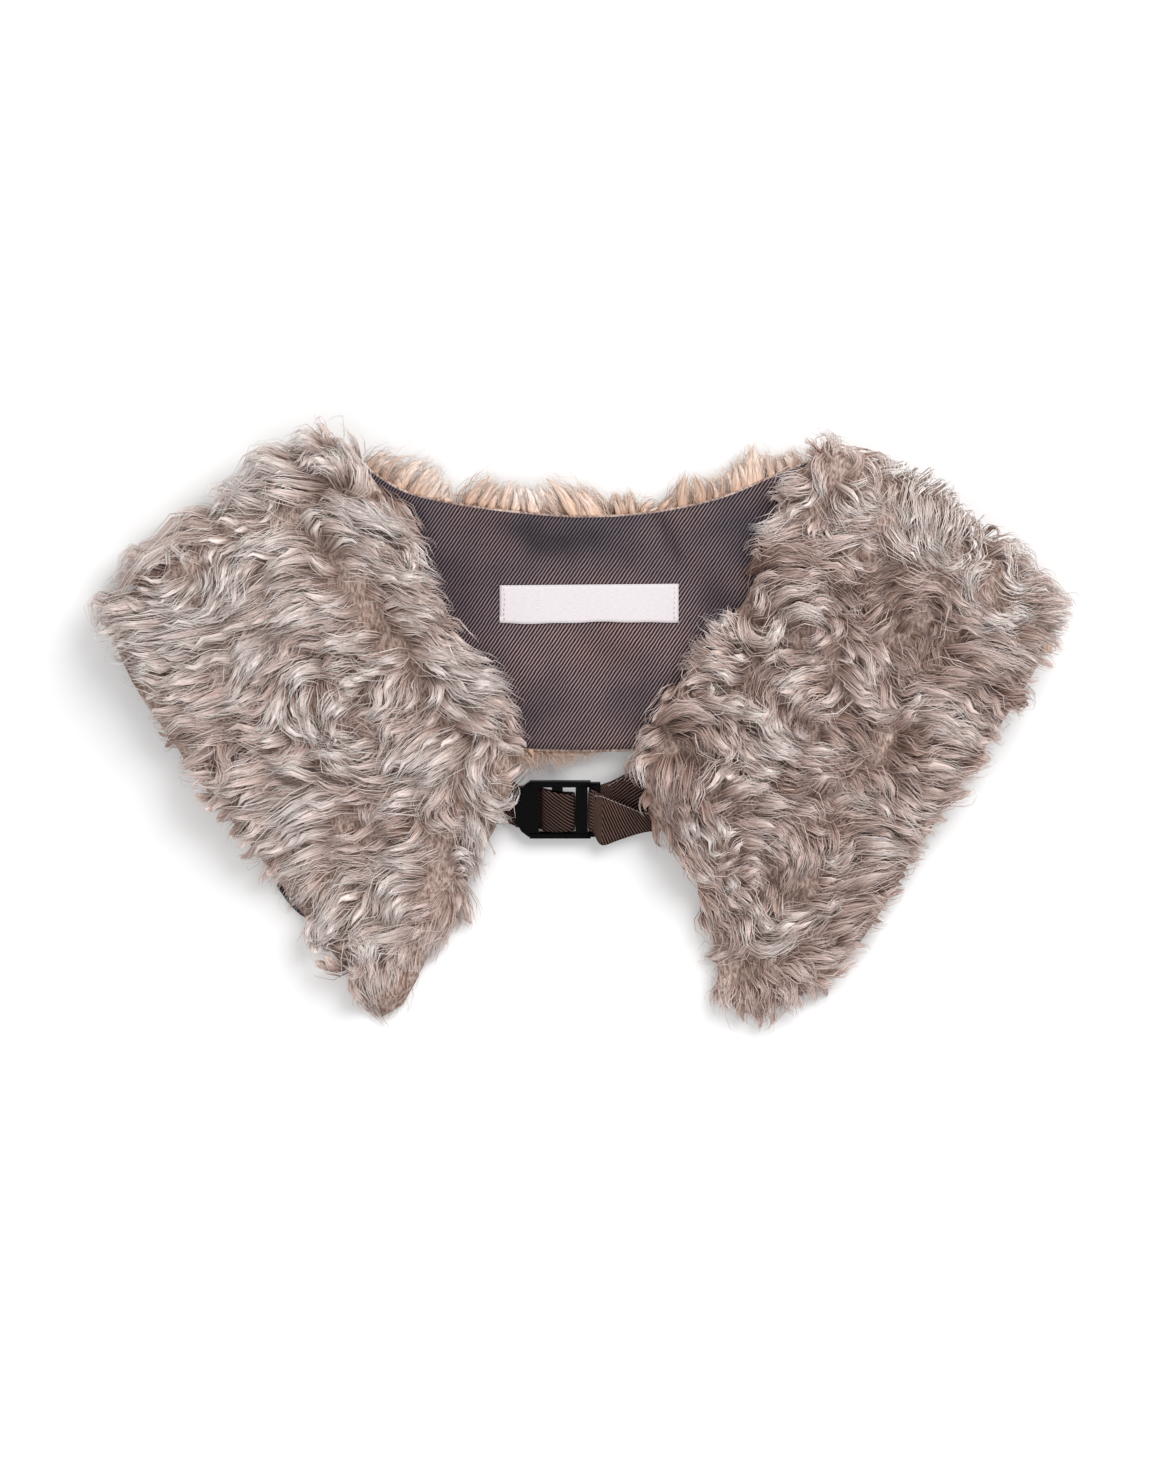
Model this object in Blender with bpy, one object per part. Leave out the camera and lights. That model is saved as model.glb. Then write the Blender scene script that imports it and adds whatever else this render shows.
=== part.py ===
# Detachable collar of curly mohair pile with a twill lining, laid on a flat surface:
# the back panel lies lining up, and both fronts are folded over it, pile up.
#
# Sizes here are millimetres, laid out about the middle of the neckline, and placed()
# turns them to metres with the origin on the surface under the middle of the collar.
# +X runs along the collar's width, +Y towards the back panel's neck edge, +Z up.

import math
from collections import namedtuple

import bpy
import bmesh
from mathutils import Matrix, Vector

MM = 0.001
MIDDLE = Vector((-1.5, 4.6, 0.0))  # where the layout's own origin leaves the collar's middle

# Cloth and pile
SEAM_GAP = 0.3  # left between pieces that are sewn together
LINING_THICK = 1.0
LINING_INSET = 0.5
PILE_OVERHANG = 6.0  # how far the pile reaches past the neck edge of the cloth
BACK_PILE = 12.0  # pile and backing under the back panel; its tips press flat on the surface
PILE_EDGE_SHARE = 0.3  # the height, as a share of the pile's, at which it reaches out furthest
PILE_FULLNESS = 0.62  # of the pile's crown: 1 is an ellipse, less is boxier

# How the layers lie
BACKING_LEVEL = 11.0  # the side of the back panel's backing that the lining is sewn to
FOLD_RADIUS = 3.8  # inside of the backing where a front turns over
LAYER_GAP = 0.4  # between the back panel's lining and the lining of a front lying on it
OUTER_ARC_Y, OUTER_ARC_RADIUS = 424.0, 433.0  # the back panel's outer edge is an arc about (0, y)
DROP_START, DROP_END = 4.0, 95.0  # how far past that edge a front leaves it and reaches the surface
FOLD_PUFF_REACH = 30.0  # how far in from the fold its roll keeps the front lifted
LINING_LEVEL = BACKING_LEVEL + SEAM_GAP + LINING_THICK  # the top of the back panel
FOLD_AXIS = BACKING_LEVEL + FOLD_RADIUS
LINING_OUT = -(SEAM_GAP + LINING_THICK)  # the lining's far side, measured from the backing
FRONT_LEVEL = FOLD_AXIS + FOLD_RADIUS + LINING_OUT  # a front's lining where it leaves the fold

# Label, straps and buckle
LABEL_LENGTH, LABEL_HEIGHT, LABEL_THICK = 77.0, 16.4, 0.4
LABEL_X, LABEL_Y = 1.8, 54.4
TAPE_THICK = 1.2
TAPE_WIDTH = 18.6
BUCKLE_MIDDLE = Vector((0.0, -34.2, 8.6))
BUCKLE_TILT = math.radians(15.0)  # its neck side stands higher
BUCKLE_WIDTH = 25.0
RAIL_WIDTH = 2.1
RAIL_HALF = 2.4  # half a side rail's height
BAR_HALF = 1.5  # half a bar's height
# The buckle's bars lie across it; each is (low x, high x) from the buckle's middle.
TAB_BAR = (-23.4, -19.9)
MIDDLE_BAR = (-14.3, -9.5)
RIGHT_BAR = (-3.2, 0.4)
LOOP_BAR = (3.1, 6.7)

# A section runs across the collar from its neck edge to its outer edge. Pile is its height
# over the backing, and spill is how far it reaches past the outer cloth edge.
Section = namedtuple("Section", "neck_x neck_y outer_x outer_y pile spill")

LEFT_FRONT = [  # from the fold at the shoulder down to the point
    Section(-102, 119, -200, 39, 21, 6),
    Section(-88, 100, -192, 21, 21, 4),
    Section(-77, 82, -183, 7, 21, 3),
    Section(-70, 66, -174, -6, 21, 2),
    Section(-64, 48, -166, -19, 21, 2),
    Section(-52, 31, -156, -31, 21, 2),
    Section(-36, 14, -147, -43, 21, 2),
    Section(-33, -8, -137, -56, 21, 2),
    Section(-33, -24, -128, -68, 21, 2),
    Section(-39, -40, -119, -80, 20, 2),
    Section(-48, -57, -110, -92, 19, 2),
    Section(-57, -75, -102, -102, 18, 2),
    Section(-67, -93, -95, -111, 16, 3),
    Section(-75, -110, -88, -118, 13, 4),
    Section(-81, -120, -86, -123, 7, 2),
]
RIGHT_FRONT = [
    Section(102, 118, 199, 46, 15, 6),
    Section(88, 102, 192, 28, 19, 4),
    Section(80, 84, 183, 13, 21, 3),
    Section(76, 66, 174, -1, 21, 2),
    Section(66, 48, 165, -15, 21, 2),
    Section(52, 34, 156, -28, 21, 2),
    Section(41, 16, 148, -41, 21, 2),
    Section(32, -2, 140, -53, 21, 2),
    Section(27, -20, 133, -66, 21, 2),
    Section(31, -38, 125, -79, 20, 2),
    Section(42, -52, 117, -91, 20, 2),
    Section(53, -70, 108, -101, 19, 2),
    Section(57, -90, 97, -111, 18, 2),
    Section(61, -111, 84, -118, 15, 4),
    Section(68, -122, 75, -123, 8, 2),
]
BACK = [  # from the left fold to the right fold
    Section(-102, 119, -200, 39, 12, 6),
    Section(-80, 104, -150, 17.8, 12, 6),
    Section(-58, 98, -95, 1.6, 12, 6),
    Section(-30, 94, -45, -6.7, 12, 6),
    Section(0, 92, 0, -9, 12, 6),
    Section(30, 94, 45, -6.7, 12, 6),
    Section(58, 100, 95, 1.6, 12, 6),
    Section(80, 109, 150, 17.8, 12, 6),
    Section(102, 118, 199, 46, 12, 6),
]
FOLD_TURNS = (-90, -62, -34, -8, 18, 44, 68, 90)  # degrees: -90 is lining up, 90 is pile up
FRONT_STATIONS = 24
BACK_STATIONS = 15

# A place along the collar: its two cloth edges in plan, how far it is turned over,
# and -1, 0 or 1 for the left, the back or the right.
Station = namedtuple("Station", "neck outer turn pile spill side")

# The adjustable strap's middle line through the buckle, in the buckle's own frame:
# under the tab bar, over the middle bar and back below both.
TapePoint = namedtuple("TapePoint", "x z")
THREADED = [
    TapePoint(-27.0, -2.65),
    TapePoint(-20.6, -2.65),
    TapePoint(-18.8, -2.0),
    TapePoint(-18.2, -0.5),
    TapePoint(-17.9, 0.9),
    TapePoint(-16.9, 2.0),
    TapePoint(-14.9, 2.6),
    TapePoint(-11.7, 2.8),
    TapePoint(-8.4, 2.6),
    TapePoint(-6.2, 1.9),
    TapePoint(-5.0, 0.4),
    TapePoint(-4.7, -1.6),
    TapePoint(-5.8, -3.3),
    TapePoint(-8.0, -4.15),
    TapePoint(-14.0, -4.25),
    TapePoint(-22.0, -4.25),
    TapePoint(-30.0, -4.25),
]

# A strap outside the buckle: its neck edge, then its outer edge, each with its height.
TapeRow = namedtuple("TapeRow", "neck_x neck_y neck_z outer_x outer_y outer_z")
LEFT_RUN = [  # from under the left front down to the buckle
    TapeRow(-49.0, -14.0, 11.6, -54.0, -32.0, 9.8),
    TapeRow(-43.0, -15.5, 11.2, -46.0, -34.5, 8.6),
    TapeRow(-35.0, -19.0, 9.6, -37.0, -38.5, 4.9),
]
RIGHT_LOWER_RUN = [  # from under the right front down to the buckle
    TapeRow(43.0, -14.5, 11.4, 47.0, -31.0, 8.8),
    TapeRow(31.0, -16.0, 10.6, 36.0, -34.0, 7.4),
    TapeRow(19.0, -18.5, 9.2, 25.0, -38.0, 5.2),
    TapeRow(11.5, -22.0, 8.2, 13.0, -42.0, 3.8),
]
RIGHT_UPPER_RUN = [  # from the buckle back over the lower layer, turned across it
    TapeRow(7.6, -28.0, 13.0, 7.2, -49.6, 9.0),
    TapeRow(14.6, -31.0, 11.8, 15.2, -47.2, 8.2),
    TapeRow(23.6, -34.6, 10.4, 26.0, -44.0, 7.8),
    TapeRow(33.0, -36.5, 9.0, 35.0, -43.5, 7.4),
]


def placed(point):
    """A layout point, in metres about the object's origin."""
    return (point - MIDDLE) * MM


# The collar's form


def smooth_rows(rows, count):
    """Sections evenly spread on a smooth curve through the given ones."""
    made = []
    for i in range(count):
        along = i * (len(rows) - 1) / (count - 1)
        k = min(int(along), len(rows) - 2)
        f = along - k
        before = rows[max(k - 1, 0)]
        after = rows[min(k + 2, len(rows) - 1)]
        values = []
        for a, b, c, d in zip(before, rows[k], rows[k + 1], after):
            bend = 2 * a - 5 * b + 4 * c - d
            twist = 3 * (b - c) + d - a
            values.append(b + 0.5 * f * (c - a + f * (bend + f * twist)))
        made.append(Section(*values))
    return made


def stations():
    """The collar from its left point, over both folds, to its right point."""
    made = []

    def add(section, turn, pile, side):
        neck = Vector((section.neck_x, section.neck_y))
        outer = Vector((section.outer_x, section.outer_y))
        made.append(Station(neck, outer, turn, pile, section.spill, side))

    def add_fold(section, turns, side):
        for turn in turns:
            share = min(1.0, 1.3 * (turn + 90) / 180)
            add(section, turn, BACK_PILE + (section.pile - BACK_PILE) * share, side)

    for section in reversed(smooth_rows(LEFT_FRONT, FRONT_STATIONS)[1:]):
        add(section, 90, section.pile, -1)
    add_fold(LEFT_FRONT[0], reversed(FOLD_TURNS), -1)
    for section in smooth_rows(BACK, BACK_STATIONS)[1:-1]:
        add(section, -90, section.pile, 0)
    add_fold(RIGHT_FRONT[0], FOLD_TURNS, 1)
    for section in smooth_rows(RIGHT_FRONT, FRONT_STATIONS)[1:]:
        add(section, 90, section.pile, 1)
    return made


def fold_line(side):
    """The fold's neck end, and the level direction that points out of the collar there."""
    fold = LEFT_FRONT[0] if side < 0 else RIGHT_FRONT[0]
    neck = Vector((fold.neck_x, fold.neck_y))
    run = Vector((fold.outer_x, fold.outer_y)) - neck
    out = Vector((-run.y, run.x)).normalized()
    return neck, out if out.y > 0 else -out


def front_level(x, y, side):
    """A front's lining: on the back panel, then down to the surface past its outer edge."""
    past = math.hypot(x, y - OUTER_ARC_Y) - OUTER_ARC_RADIUS
    share = min(1.0, max(0.0, (past - DROP_START) / (DROP_END - DROP_START)))
    resting = (LINING_LEVEL + LAYER_GAP) * (1 - share * share * (3 - 2 * share))
    neck, out = fold_line(side)
    inward = (neck - Vector((x, y))).dot(out)
    lift = FRONT_LEVEL - LINING_LEVEL - LAYER_GAP
    return resting + lift * math.exp(-((inward / FOLD_PUFF_REACH) ** 2))


def collar_point(station, across, out):
    """A point of the collar, from its distance to the neck edge and to the backing."""
    width = (station.outer - station.neck).length
    plan = station.neck + (station.outer - station.neck) * (across / width)
    turn = math.radians(station.turn)
    reach = FOLD_RADIUS + out
    if station.side:
        plan = plan + fold_line(station.side)[1] * (reach * math.cos(turn))
    z = FOLD_AXIS + reach * math.sin(turn)
    if station.turn == 90:
        z -= FRONT_LEVEL - front_level(plan.x, plan.y, station.side)
    return placed(Vector((plan.x, plan.y, max(z, 0.0))))


def pile_profile(width, pile, spill):
    """A section of backing and pile, as (across, out): flat inside, rounded over its edges."""
    across_steps, edge_steps, crown_steps = 6, 2, 11
    edge_height = PILE_EDGE_SHARE * pile
    overhang = PILE_OVERHANG * min(1.0, pile / BACK_PILE)
    turns = [math.radians(90 * i / edge_steps) for i in range(1, edge_steps + 1)]
    profile = [(width * i / across_steps, 0.0) for i in range(across_steps + 1)]
    profile += [(width + spill * math.sin(a), edge_height * (1 - math.cos(a))) for a in turns]
    half = (width + overhang + spill) / 2
    middle = (width + spill - overhang) / 2
    for i in range(1, crown_steps):
        a = math.pi * i / crown_steps
        side = math.copysign(abs(math.cos(a)) ** PILE_FULLNESS, math.cos(a))
        rise = math.sin(a) ** PILE_FULLNESS
        profile.append((middle + half * side, edge_height + (pile - edge_height) * rise))
    turns.reverse()
    profile += [(-overhang * math.sin(a), edge_height * (1 - math.cos(a))) for a in turns]
    return profile


def lining_profile(width, _pile, _spill):
    """A section of the lining, just inside the cloth edges."""
    steps = 6
    clear = width - 2 * LINING_INSET
    spread = [LINING_INSET + clear * i / steps for i in range(steps + 1)]
    near = [(across, -SEAM_GAP) for across in spread]
    far = [(across, LINING_OUT) for across in reversed(spread)]
    return near + far


# Meshes and materials


def mesh_object(name, points, faces, material):
    """A closed mesh from points in metres, its faces turned outwards."""
    mesh = bpy.data.meshes.new(name)
    mesh.from_pydata([tuple(p) for p in points], [], faces)
    work = bmesh.new()
    work.from_mesh(mesh)
    bmesh.ops.recalc_face_normals(work, faces=work.faces)
    work.to_mesh(mesh)
    work.free()
    mesh.materials.append(material)
    mesh.shade_smooth()
    mesh.set_sharp_from_angle(angle=math.radians(40))
    obj = bpy.data.objects.new(name, mesh)
    bpy.context.scene.collection.objects.link(obj)
    return obj


def skin(rings):
    """Points and faces that join equal rings, with both ends closed round a middle point."""
    size = len(rings[0])
    points = [p for ring in rings for p in ring]
    faces = []
    for r in range(len(rings) - 1):
        for i in range(size):
            a, b = r * size + i, r * size + (i + 1) % size
            faces.append((a, b, b + size, a + size))
    for r, ring in ((0, rings[0]), (len(rings) - 1, rings[-1])):
        middle = len(points)
        points.append(sum(ring, Vector()) / size)
        for i in range(size):
            faces.append((r * size + i, r * size + (i + 1) % size, middle))
    return points, faces


def material(name, colour, roughness):
    made = bpy.data.materials.new(name)
    made.use_nodes = True
    shader = made.node_tree.nodes["Principled BSDF"]
    shader.inputs["Base Color"].default_value = (*colour, 1.0)
    shader.inputs["Roughness"].default_value = roughness
    shader.inputs["Metallic"].default_value = 0.0
    made.diffuse_color = (*colour, 1.0)
    return made


# Cloth pieces


def collar_layer(name, profile_of, finish):
    """One layer of the collar, swept from its left point to its right point."""
    rings = []
    for station in stations():
        width = (station.outer - station.neck).length
        profile = profile_of(width, station.pile, station.spill)
        rings.append([collar_point(station, across, out) for across, out in profile])
    points, faces = skin(rings)
    return mesh_object(name, points, faces, finish)


def label(finish):
    """A woven label sewn flat on the back panel's lining."""
    columns, rows = 8, 2
    low = LINING_LEVEL + SEAM_GAP
    ys = [LABEL_Y - LABEL_HEIGHT / 2 + LABEL_HEIGHT * j / rows for j in range(rows + 1)]
    rings = []
    for i in range(columns + 1):
        x = LABEL_X - LABEL_LENGTH / 2 + LABEL_LENGTH * i / columns
        ring = [placed(Vector((x, y, low))) for y in ys]
        ring += [placed(Vector((x, y, low + LABEL_THICK))) for y in reversed(ys)]
        rings.append(ring)
    points, faces = skin(rings)
    return mesh_object("label", points, faces, finish)


def buckle_point(x, y, z):
    """A layout point given from the buckle's middle, tilted with it."""
    return BUCKLE_MIDDLE + Matrix.Rotation(BUCKLE_TILT, 3, "X") @ Vector((x, y, z))


def tape_edges(rows):
    """The two edge points of each row of a strap outside the buckle."""
    edges = []
    for row in rows:
        neck = Vector((row.neck_x, row.neck_y, row.neck_z))
        outer = Vector((row.outer_x, row.outer_y, row.outer_z))
        edges.append((neck, outer))
    return edges


def tape(name, edges, finish):
    """A strap from its pairs of edge points, given thickness square to its face."""
    middles = [(neck + outer) / 2 for neck, outer in edges]
    rings = []
    for i, (neck, outer) in enumerate(edges):
        along = middles[min(i + 1, len(edges) - 1)] - middles[max(i - 1, 0)]
        face = along.cross(neck - outer).normalized() * (TAPE_THICK / 2)
        upper = (neck + face, middles[i] + face, outer + face)
        lower = (outer - face, middles[i] - face, neck - face)
        rings.append([placed(p) for p in upper + lower])
    points, faces = skin(rings)
    return mesh_object(name, points, faces, finish)


def left_strap(finish):
    """The adjustable strap, from under the left front and through the buckle; its tail lies below."""
    half = TAPE_WIDTH / 2
    edges = tape_edges(LEFT_RUN)
    for point in THREADED:
        edges.append((buckle_point(point.x, half, point.z), buckle_point(point.x, -half, point.z)))
    return tape("strap_left", edges, finish)


def right_strap(finish):
    """The sewn loop: from under the right front, round the buckle's last bar and back over itself."""
    half = TAPE_WIDTH / 2
    clearance = 0.5
    middle = sum(LOOP_BAR) / 2
    reach = (LOOP_BAR[1] - LOOP_BAR[0]) / 2 + clearance + TAPE_THICK / 2
    rise = BAR_HALF + clearance + TAPE_THICK / 2
    squareness = 0.6
    edges = tape_edges(RIGHT_LOWER_RUN)
    for degrees in (255, 228, 204, 180, 156, 132, 105):
        a = math.radians(degrees)
        x = middle + reach * math.copysign(abs(math.cos(a)) ** squareness, math.cos(a))
        z = rise * math.copysign(abs(math.sin(a)) ** squareness, math.sin(a))
        edges.append((buckle_point(x, half, z), buckle_point(x, -half, z)))
    edges += tape_edges(RIGHT_UPPER_RUN)
    return tape("strap_right", edges, finish)


# The buckle


def slab(name, corners, half_height, finish):
    """A closed prism on plan corners, in the buckle's own frame."""
    size = len(corners)
    points = [placed(buckle_point(x, y, -half_height)) for x, y in corners]
    points += [placed(buckle_point(x, y, half_height)) for x, y in corners]
    faces = [tuple(range(size)), tuple(range(size, 2 * size))]
    for i in range(size):
        j = (i + 1) % size
        faces.append((i, j, j + size, i + size))
    return mesh_object(name, points, faces, finish)


def rectangle(x_low, x_high, y_low, y_high):
    return [(x_low, y_low), (x_high, y_low), (x_high, y_high), (x_low, y_high)]


def buckle(finish):
    """A moulded ladder lock: two side rails, four bars and a thumb tab with cut corners."""
    half = BUCKLE_WIDTH / 2
    body_half = half - 0.5  # the rails stand out past the body
    body = [(-30.2, -5.0), (-27.4, -9.6), (TAB_BAR[0] - 1.0, -body_half), (LOOP_BAR[1], -body_half)]
    body += [(x, -y) for x, y in reversed(body)]
    obj = slab("ladder_lock", body, BAR_HALF, finish)

    def combine(name, corners, half_height, operation):
        helper = slab(name, corners, half_height, finish)
        helper.hide_render = True
        helper.display_type = "WIRE"
        cut = obj.modifiers.new(name, "BOOLEAN")
        cut.object = helper
        cut.operation = operation

    rail_low, rail_high = TAB_BAR[0] - 0.5, LOOP_BAR[0] - 0.6
    combine("rail_outer", rectangle(rail_low, rail_high, -half, RAIL_WIDTH - half), RAIL_HALF, "UNION")
    combine("rail_neck", rectangle(rail_low, rail_high, half - RAIL_WIDTH, half), RAIL_HALF, "UNION")
    slot_half = half - RAIL_WIDTH - 0.2
    bars = (TAB_BAR, MIDDLE_BAR, RIGHT_BAR, LOOP_BAR)
    for i in range(len(bars) - 1):
        slot = rectangle(bars[i][1], bars[i + 1][0], -slot_half, slot_half)
        combine(f"slot_{i}", slot, 2 * RAIL_HALF, "DIFFERENCE")
    weld = obj.modifiers.new("weld", "WELD")
    weld.merge_threshold = 0.02 * MM
    rounding = obj.modifiers.new("rounded_edges", "BEVEL")
    rounding.width = 0.3 * MM
    rounding.segments = 1
    rounding.limit_method = "ANGLE"
    rounding.angle_limit = math.radians(40)
    return obj


def build():
    for obj in list(bpy.data.objects):
        bpy.data.objects.remove(obj, do_unlink=True)
    pile = material("mohair pile", (0.38, 0.31, 0.28), 0.9)
    twill = material("twill lining", (0.11, 0.085, 0.09), 0.7)
    tape_cloth = material("twill strap", (0.05, 0.035, 0.033), 0.75)
    satin = material("woven satin label", (0.86, 0.83, 0.83), 0.5)
    plastic = material("black acetal", (0.012, 0.012, 0.013), 0.3)
    collar_layer("fur_collar", pile_profile, pile)
    collar_layer("lining", lining_profile, twill)
    label(satin)
    left_strap(tape_cloth)
    right_strap(tape_cloth)
    buckle(plastic)


build()
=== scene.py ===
import math
from collections import namedtuple

import bmesh
import bpy
import numpy as np
from mathutils import Matrix, Vector


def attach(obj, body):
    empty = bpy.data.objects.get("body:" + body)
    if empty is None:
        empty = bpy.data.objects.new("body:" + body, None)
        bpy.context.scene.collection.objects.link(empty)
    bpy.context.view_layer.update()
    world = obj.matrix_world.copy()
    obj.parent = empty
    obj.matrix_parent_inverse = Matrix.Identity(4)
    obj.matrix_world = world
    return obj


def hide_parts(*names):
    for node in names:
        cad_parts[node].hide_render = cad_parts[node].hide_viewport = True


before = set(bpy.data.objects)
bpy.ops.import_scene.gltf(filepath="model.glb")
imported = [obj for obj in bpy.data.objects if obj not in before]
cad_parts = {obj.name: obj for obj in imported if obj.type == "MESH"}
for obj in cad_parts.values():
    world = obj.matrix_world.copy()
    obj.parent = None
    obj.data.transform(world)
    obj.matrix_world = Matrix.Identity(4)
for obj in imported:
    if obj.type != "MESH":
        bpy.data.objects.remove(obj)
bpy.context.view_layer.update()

# Lengths in this script are millimetres until a mesh is made, and angles are degrees.
mm = 0.001
fullTurn = 2 * math.pi
layoutShift = np.array([1.5, -4.6])  # from the pattern layout to the frame, whose origin is under the collar

print("camera, floor and light")

cameraSettings = {
    "aim": (0.0024, -0.0061),  # metres, on the surface
    "level": 0.014,  # height at which the frame is as wide as it should be
    "lens": 100.0,
    "height": 0.6308,  # what the long side takes in at that level
}
lightSettings = {
    "world": 0.62,
    "key": {"size": 1.1, "at": (0.62, 0.76, 1.2), "watts": 18.0},
    "fill": {"size": 1.6, "at": (-0.35, -0.8, 1.5), "watts": 9.0},
}


def linear(code):
    # An sRGB hex colour as linear red, green, blue and 1
    channels = [int(code[i : i + 2], 16) / 255 for i in (0, 2, 4)]
    return (*[c / 12.92 if c <= 0.04045 else ((c + 0.055) / 1.055) ** 2.4 for c in channels], 1.0)


def addObject(name, data):
    made = bpy.data.objects.new(name, data)
    bpy.context.scene.collection.objects.link(made)
    return made


def addNode(tree, kind, settings=(), sockets=()):
    # A node with its settings, where stops are a ramp's places and colours
    # A socket takes a constant or another node's output
    made = tree.nodes.new(kind)
    for name, value in dict(settings).items():
        if name == "stops":
            points = made.color_ramp.elements
            while len(points) < len(value):
                points.new(0.5)
            for point, (at, code) in zip(points, value):
                point.position = at
                point.color = linear(code)
        else:
            setattr(made, name, value)
    for name, value in dict(sockets).items():
        if isinstance(value, bpy.types.NodeSocket):
            tree.links.new(value, made.inputs[name])
        else:
            made.inputs[name].default_value = value
    return made


def newMaterial(name, values):
    made = bpy.data.materials.new(name)
    made.use_nodes = True
    shader = made.node_tree.nodes["Principled BSDF"]
    for socket, value in values.items():
        shader.inputs[socket].default_value = value
    return made, made.node_tree, shader


def makeCamera(settings):
    data = bpy.data.cameras.new("camera")
    data.lens = settings["lens"]
    data.sensor_width = 36.0
    data.clip_start, data.clip_end = 0.05, 20.0
    camera = addObject("camera", data)
    away = settings["height"] * settings["lens"] / data.sensor_width
    camera.location = (*settings["aim"], settings["level"] + away)
    bpy.context.scene.camera = camera


def makeLights(settings):
    world = bpy.data.worlds.new("studio")
    world.use_nodes = True
    sky = world.node_tree.nodes["Background"]
    sky.inputs["Color"].default_value = (1.0, 1.0, 1.0, 1.0)
    sky.inputs["Strength"].default_value = settings["world"]
    bpy.context.scene.world = world
    for name in ("key", "fill"):
        data = bpy.data.lights.new(name, "AREA")
        data.shape = "DISK"
        data.size = settings[name]["size"]
        data.energy = settings[name]["watts"]
        lamp = addObject(name, data)
        lamp.location = settings[name]["at"]
        lamp.rotation_euler = (-Vector(lamp.location)).to_track_quat("-Z", "Y").to_euler()


def makeFloor():
    values = {"Base Color": linear("f0f0f0"), "Roughness": 0.9, "Specular IOR Level": 0.1}
    mesh = bpy.data.meshes.new("floor")
    mesh.from_pydata([(-4, -4, 0), (4, -4, 0), (4, 4, 0), (-4, 4, 0)], [], [(0, 1, 2, 3)])
    mesh.materials.append(newMaterial("matt white card", values)[0])
    addObject("floor", mesh)


makeCamera(cameraSettings)
makeLights(lightSettings)
makeFloor()
bpy.context.scene.view_settings.view_transform = "Standard"

print("the collar's form")

# A section runs across the collar from its neck edge to its outer edge, in the layout
Section = namedtuple("Section", "neckX neckY outerX outerY pile")


def table(kind, *rows):
    return [kind(*row) for row in rows]


leftFront = table(
    Section,  # from the fold at the shoulder down to the point
    (-102, 119, -200, 39, 21), (-88, 100, -192, 21, 21), (-77, 82, -183, 7, 21), (-70, 66, -174, -6, 21),
    (-64, 48, -166, -19, 21), (-52, 31, -156, -31, 21), (-36, 14, -147, -43, 21), (-33, -8, -137, -56, 21),
    (-33, -24, -128, -68, 21), (-39, -40, -119, -80, 20), (-48, -57, -110, -92, 19),
    (-57, -75, -102, -102, 18), (-67, -93, -95, -111, 16), (-75, -110, -88, -118, 13),
    (-81, -120, -86, -123, 7),
)
rightFront = table(
    Section,
    (102, 118, 199, 46, 15), (88, 102, 192, 28, 19), (80, 84, 183, 13, 21), (76, 66, 174, -1, 21),
    (66, 48, 165, -15, 21), (52, 34, 156, -28, 21), (41, 16, 148, -41, 21), (32, -2, 140, -53, 21),
    (27, -20, 133, -66, 21), (31, -38, 125, -79, 20), (42, -52, 117, -91, 20), (53, -70, 108, -101, 19),
    (57, -90, 97, -111, 18), (61, -111, 84, -118, 15), (68, -122, 75, -123, 8),
)
back = table(
    Section,  # from the left fold to the right fold
    (-102, 119, -200, 39, 12), (-80, 104, -150, 17.8, 12), (-58, 98, -95, 1.6, 12),
    (-30, 94, -45, -6.7, 12), (0, 92, 0, -9, 12), (30, 94, 45, -6.7, 12), (58, 100, 95, 1.6, 12),
    (80, 109, 150, 17.8, 12), (102, 118, 199, 46, 12),
)
formSettings = {
    "frontSteps": 120,  # sections worked out along a front, and round its fold
    "wrapSteps": 29,
    "backingLevel": 11.0,  # the back panel's backing, on the side that the lining is sewn to
    "foldRadius": 3.8,  # inside of the backing where a front turns over
    "seamGap": 0.3,
    "liningThick": 1.0,
    "layerGap": 0.4,
    "outerArc": (0.0, 424.0, 433.0),  # the back panel's outer edge: centre and radius in the layout
    "drop": (4.0, 95.0),  # how far past that edge a front leaves it and reaches the surface
    "puffReach": 30.0,  # how far in from a fold its roll keeps the front lifted
    "underPile": 12.0,
}
liningLevel = formSettings["backingLevel"] + formSettings["seamGap"] + formSettings["liningThick"]
foldAxis = formSettings["backingLevel"] + formSettings["foldRadius"]
backingAtFold = foldAxis + formSettings["foldRadius"]  # of a front, where it has just turned over


def smoothRows(rows, count):
    # Rows evenly spread on a smooth curve through the given ones
    given = np.array(rows, float)
    last = len(given) - 1
    along = np.arange(count) * last / (count - 1)
    k = np.minimum(along.astype(int), last - 1)
    f = (along - k)[:, None]
    a, b, c, d = (given[np.clip(k + step, 0, last)] for step in (-1, 0, 1, 2))
    bend = 2 * a - 5 * b + 4 * c - d
    twist = 3 * (b - c) + d - a
    return b + 0.5 * f * (c - a + f * (bend + f * twist))


def unit(vectors):
    return vectors / np.maximum(np.linalg.norm(vectors, axis=-1, keepdims=True), 1e-9)


def ease(x):
    x = np.clip(x, 0.0, 1.0)
    return x * x * (3 - 2 * x)


# How far in from the neck edge, the outer edge and the end a place is, the pile there and the nearest rows
Depths = namedtuple("Depths", "neck outer end pile neckRow outerRow")


def edgeDepths(rows, places):
    across = rows[:, 2:4] - rows[:, 0:2]
    found = []
    for edge, inward in ((rows[:, 0:2], across), (rows[:, 2:4], -across)):
        off = places[:, None, :] - edge[None]
        near = np.argmin((off**2).sum(2), axis=1)
        off = off[np.arange(len(places)), near]
        found += [np.linalg.norm(off, axis=1) * np.sign((off * inward[near]).sum(1)), near]
    return found


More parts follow.
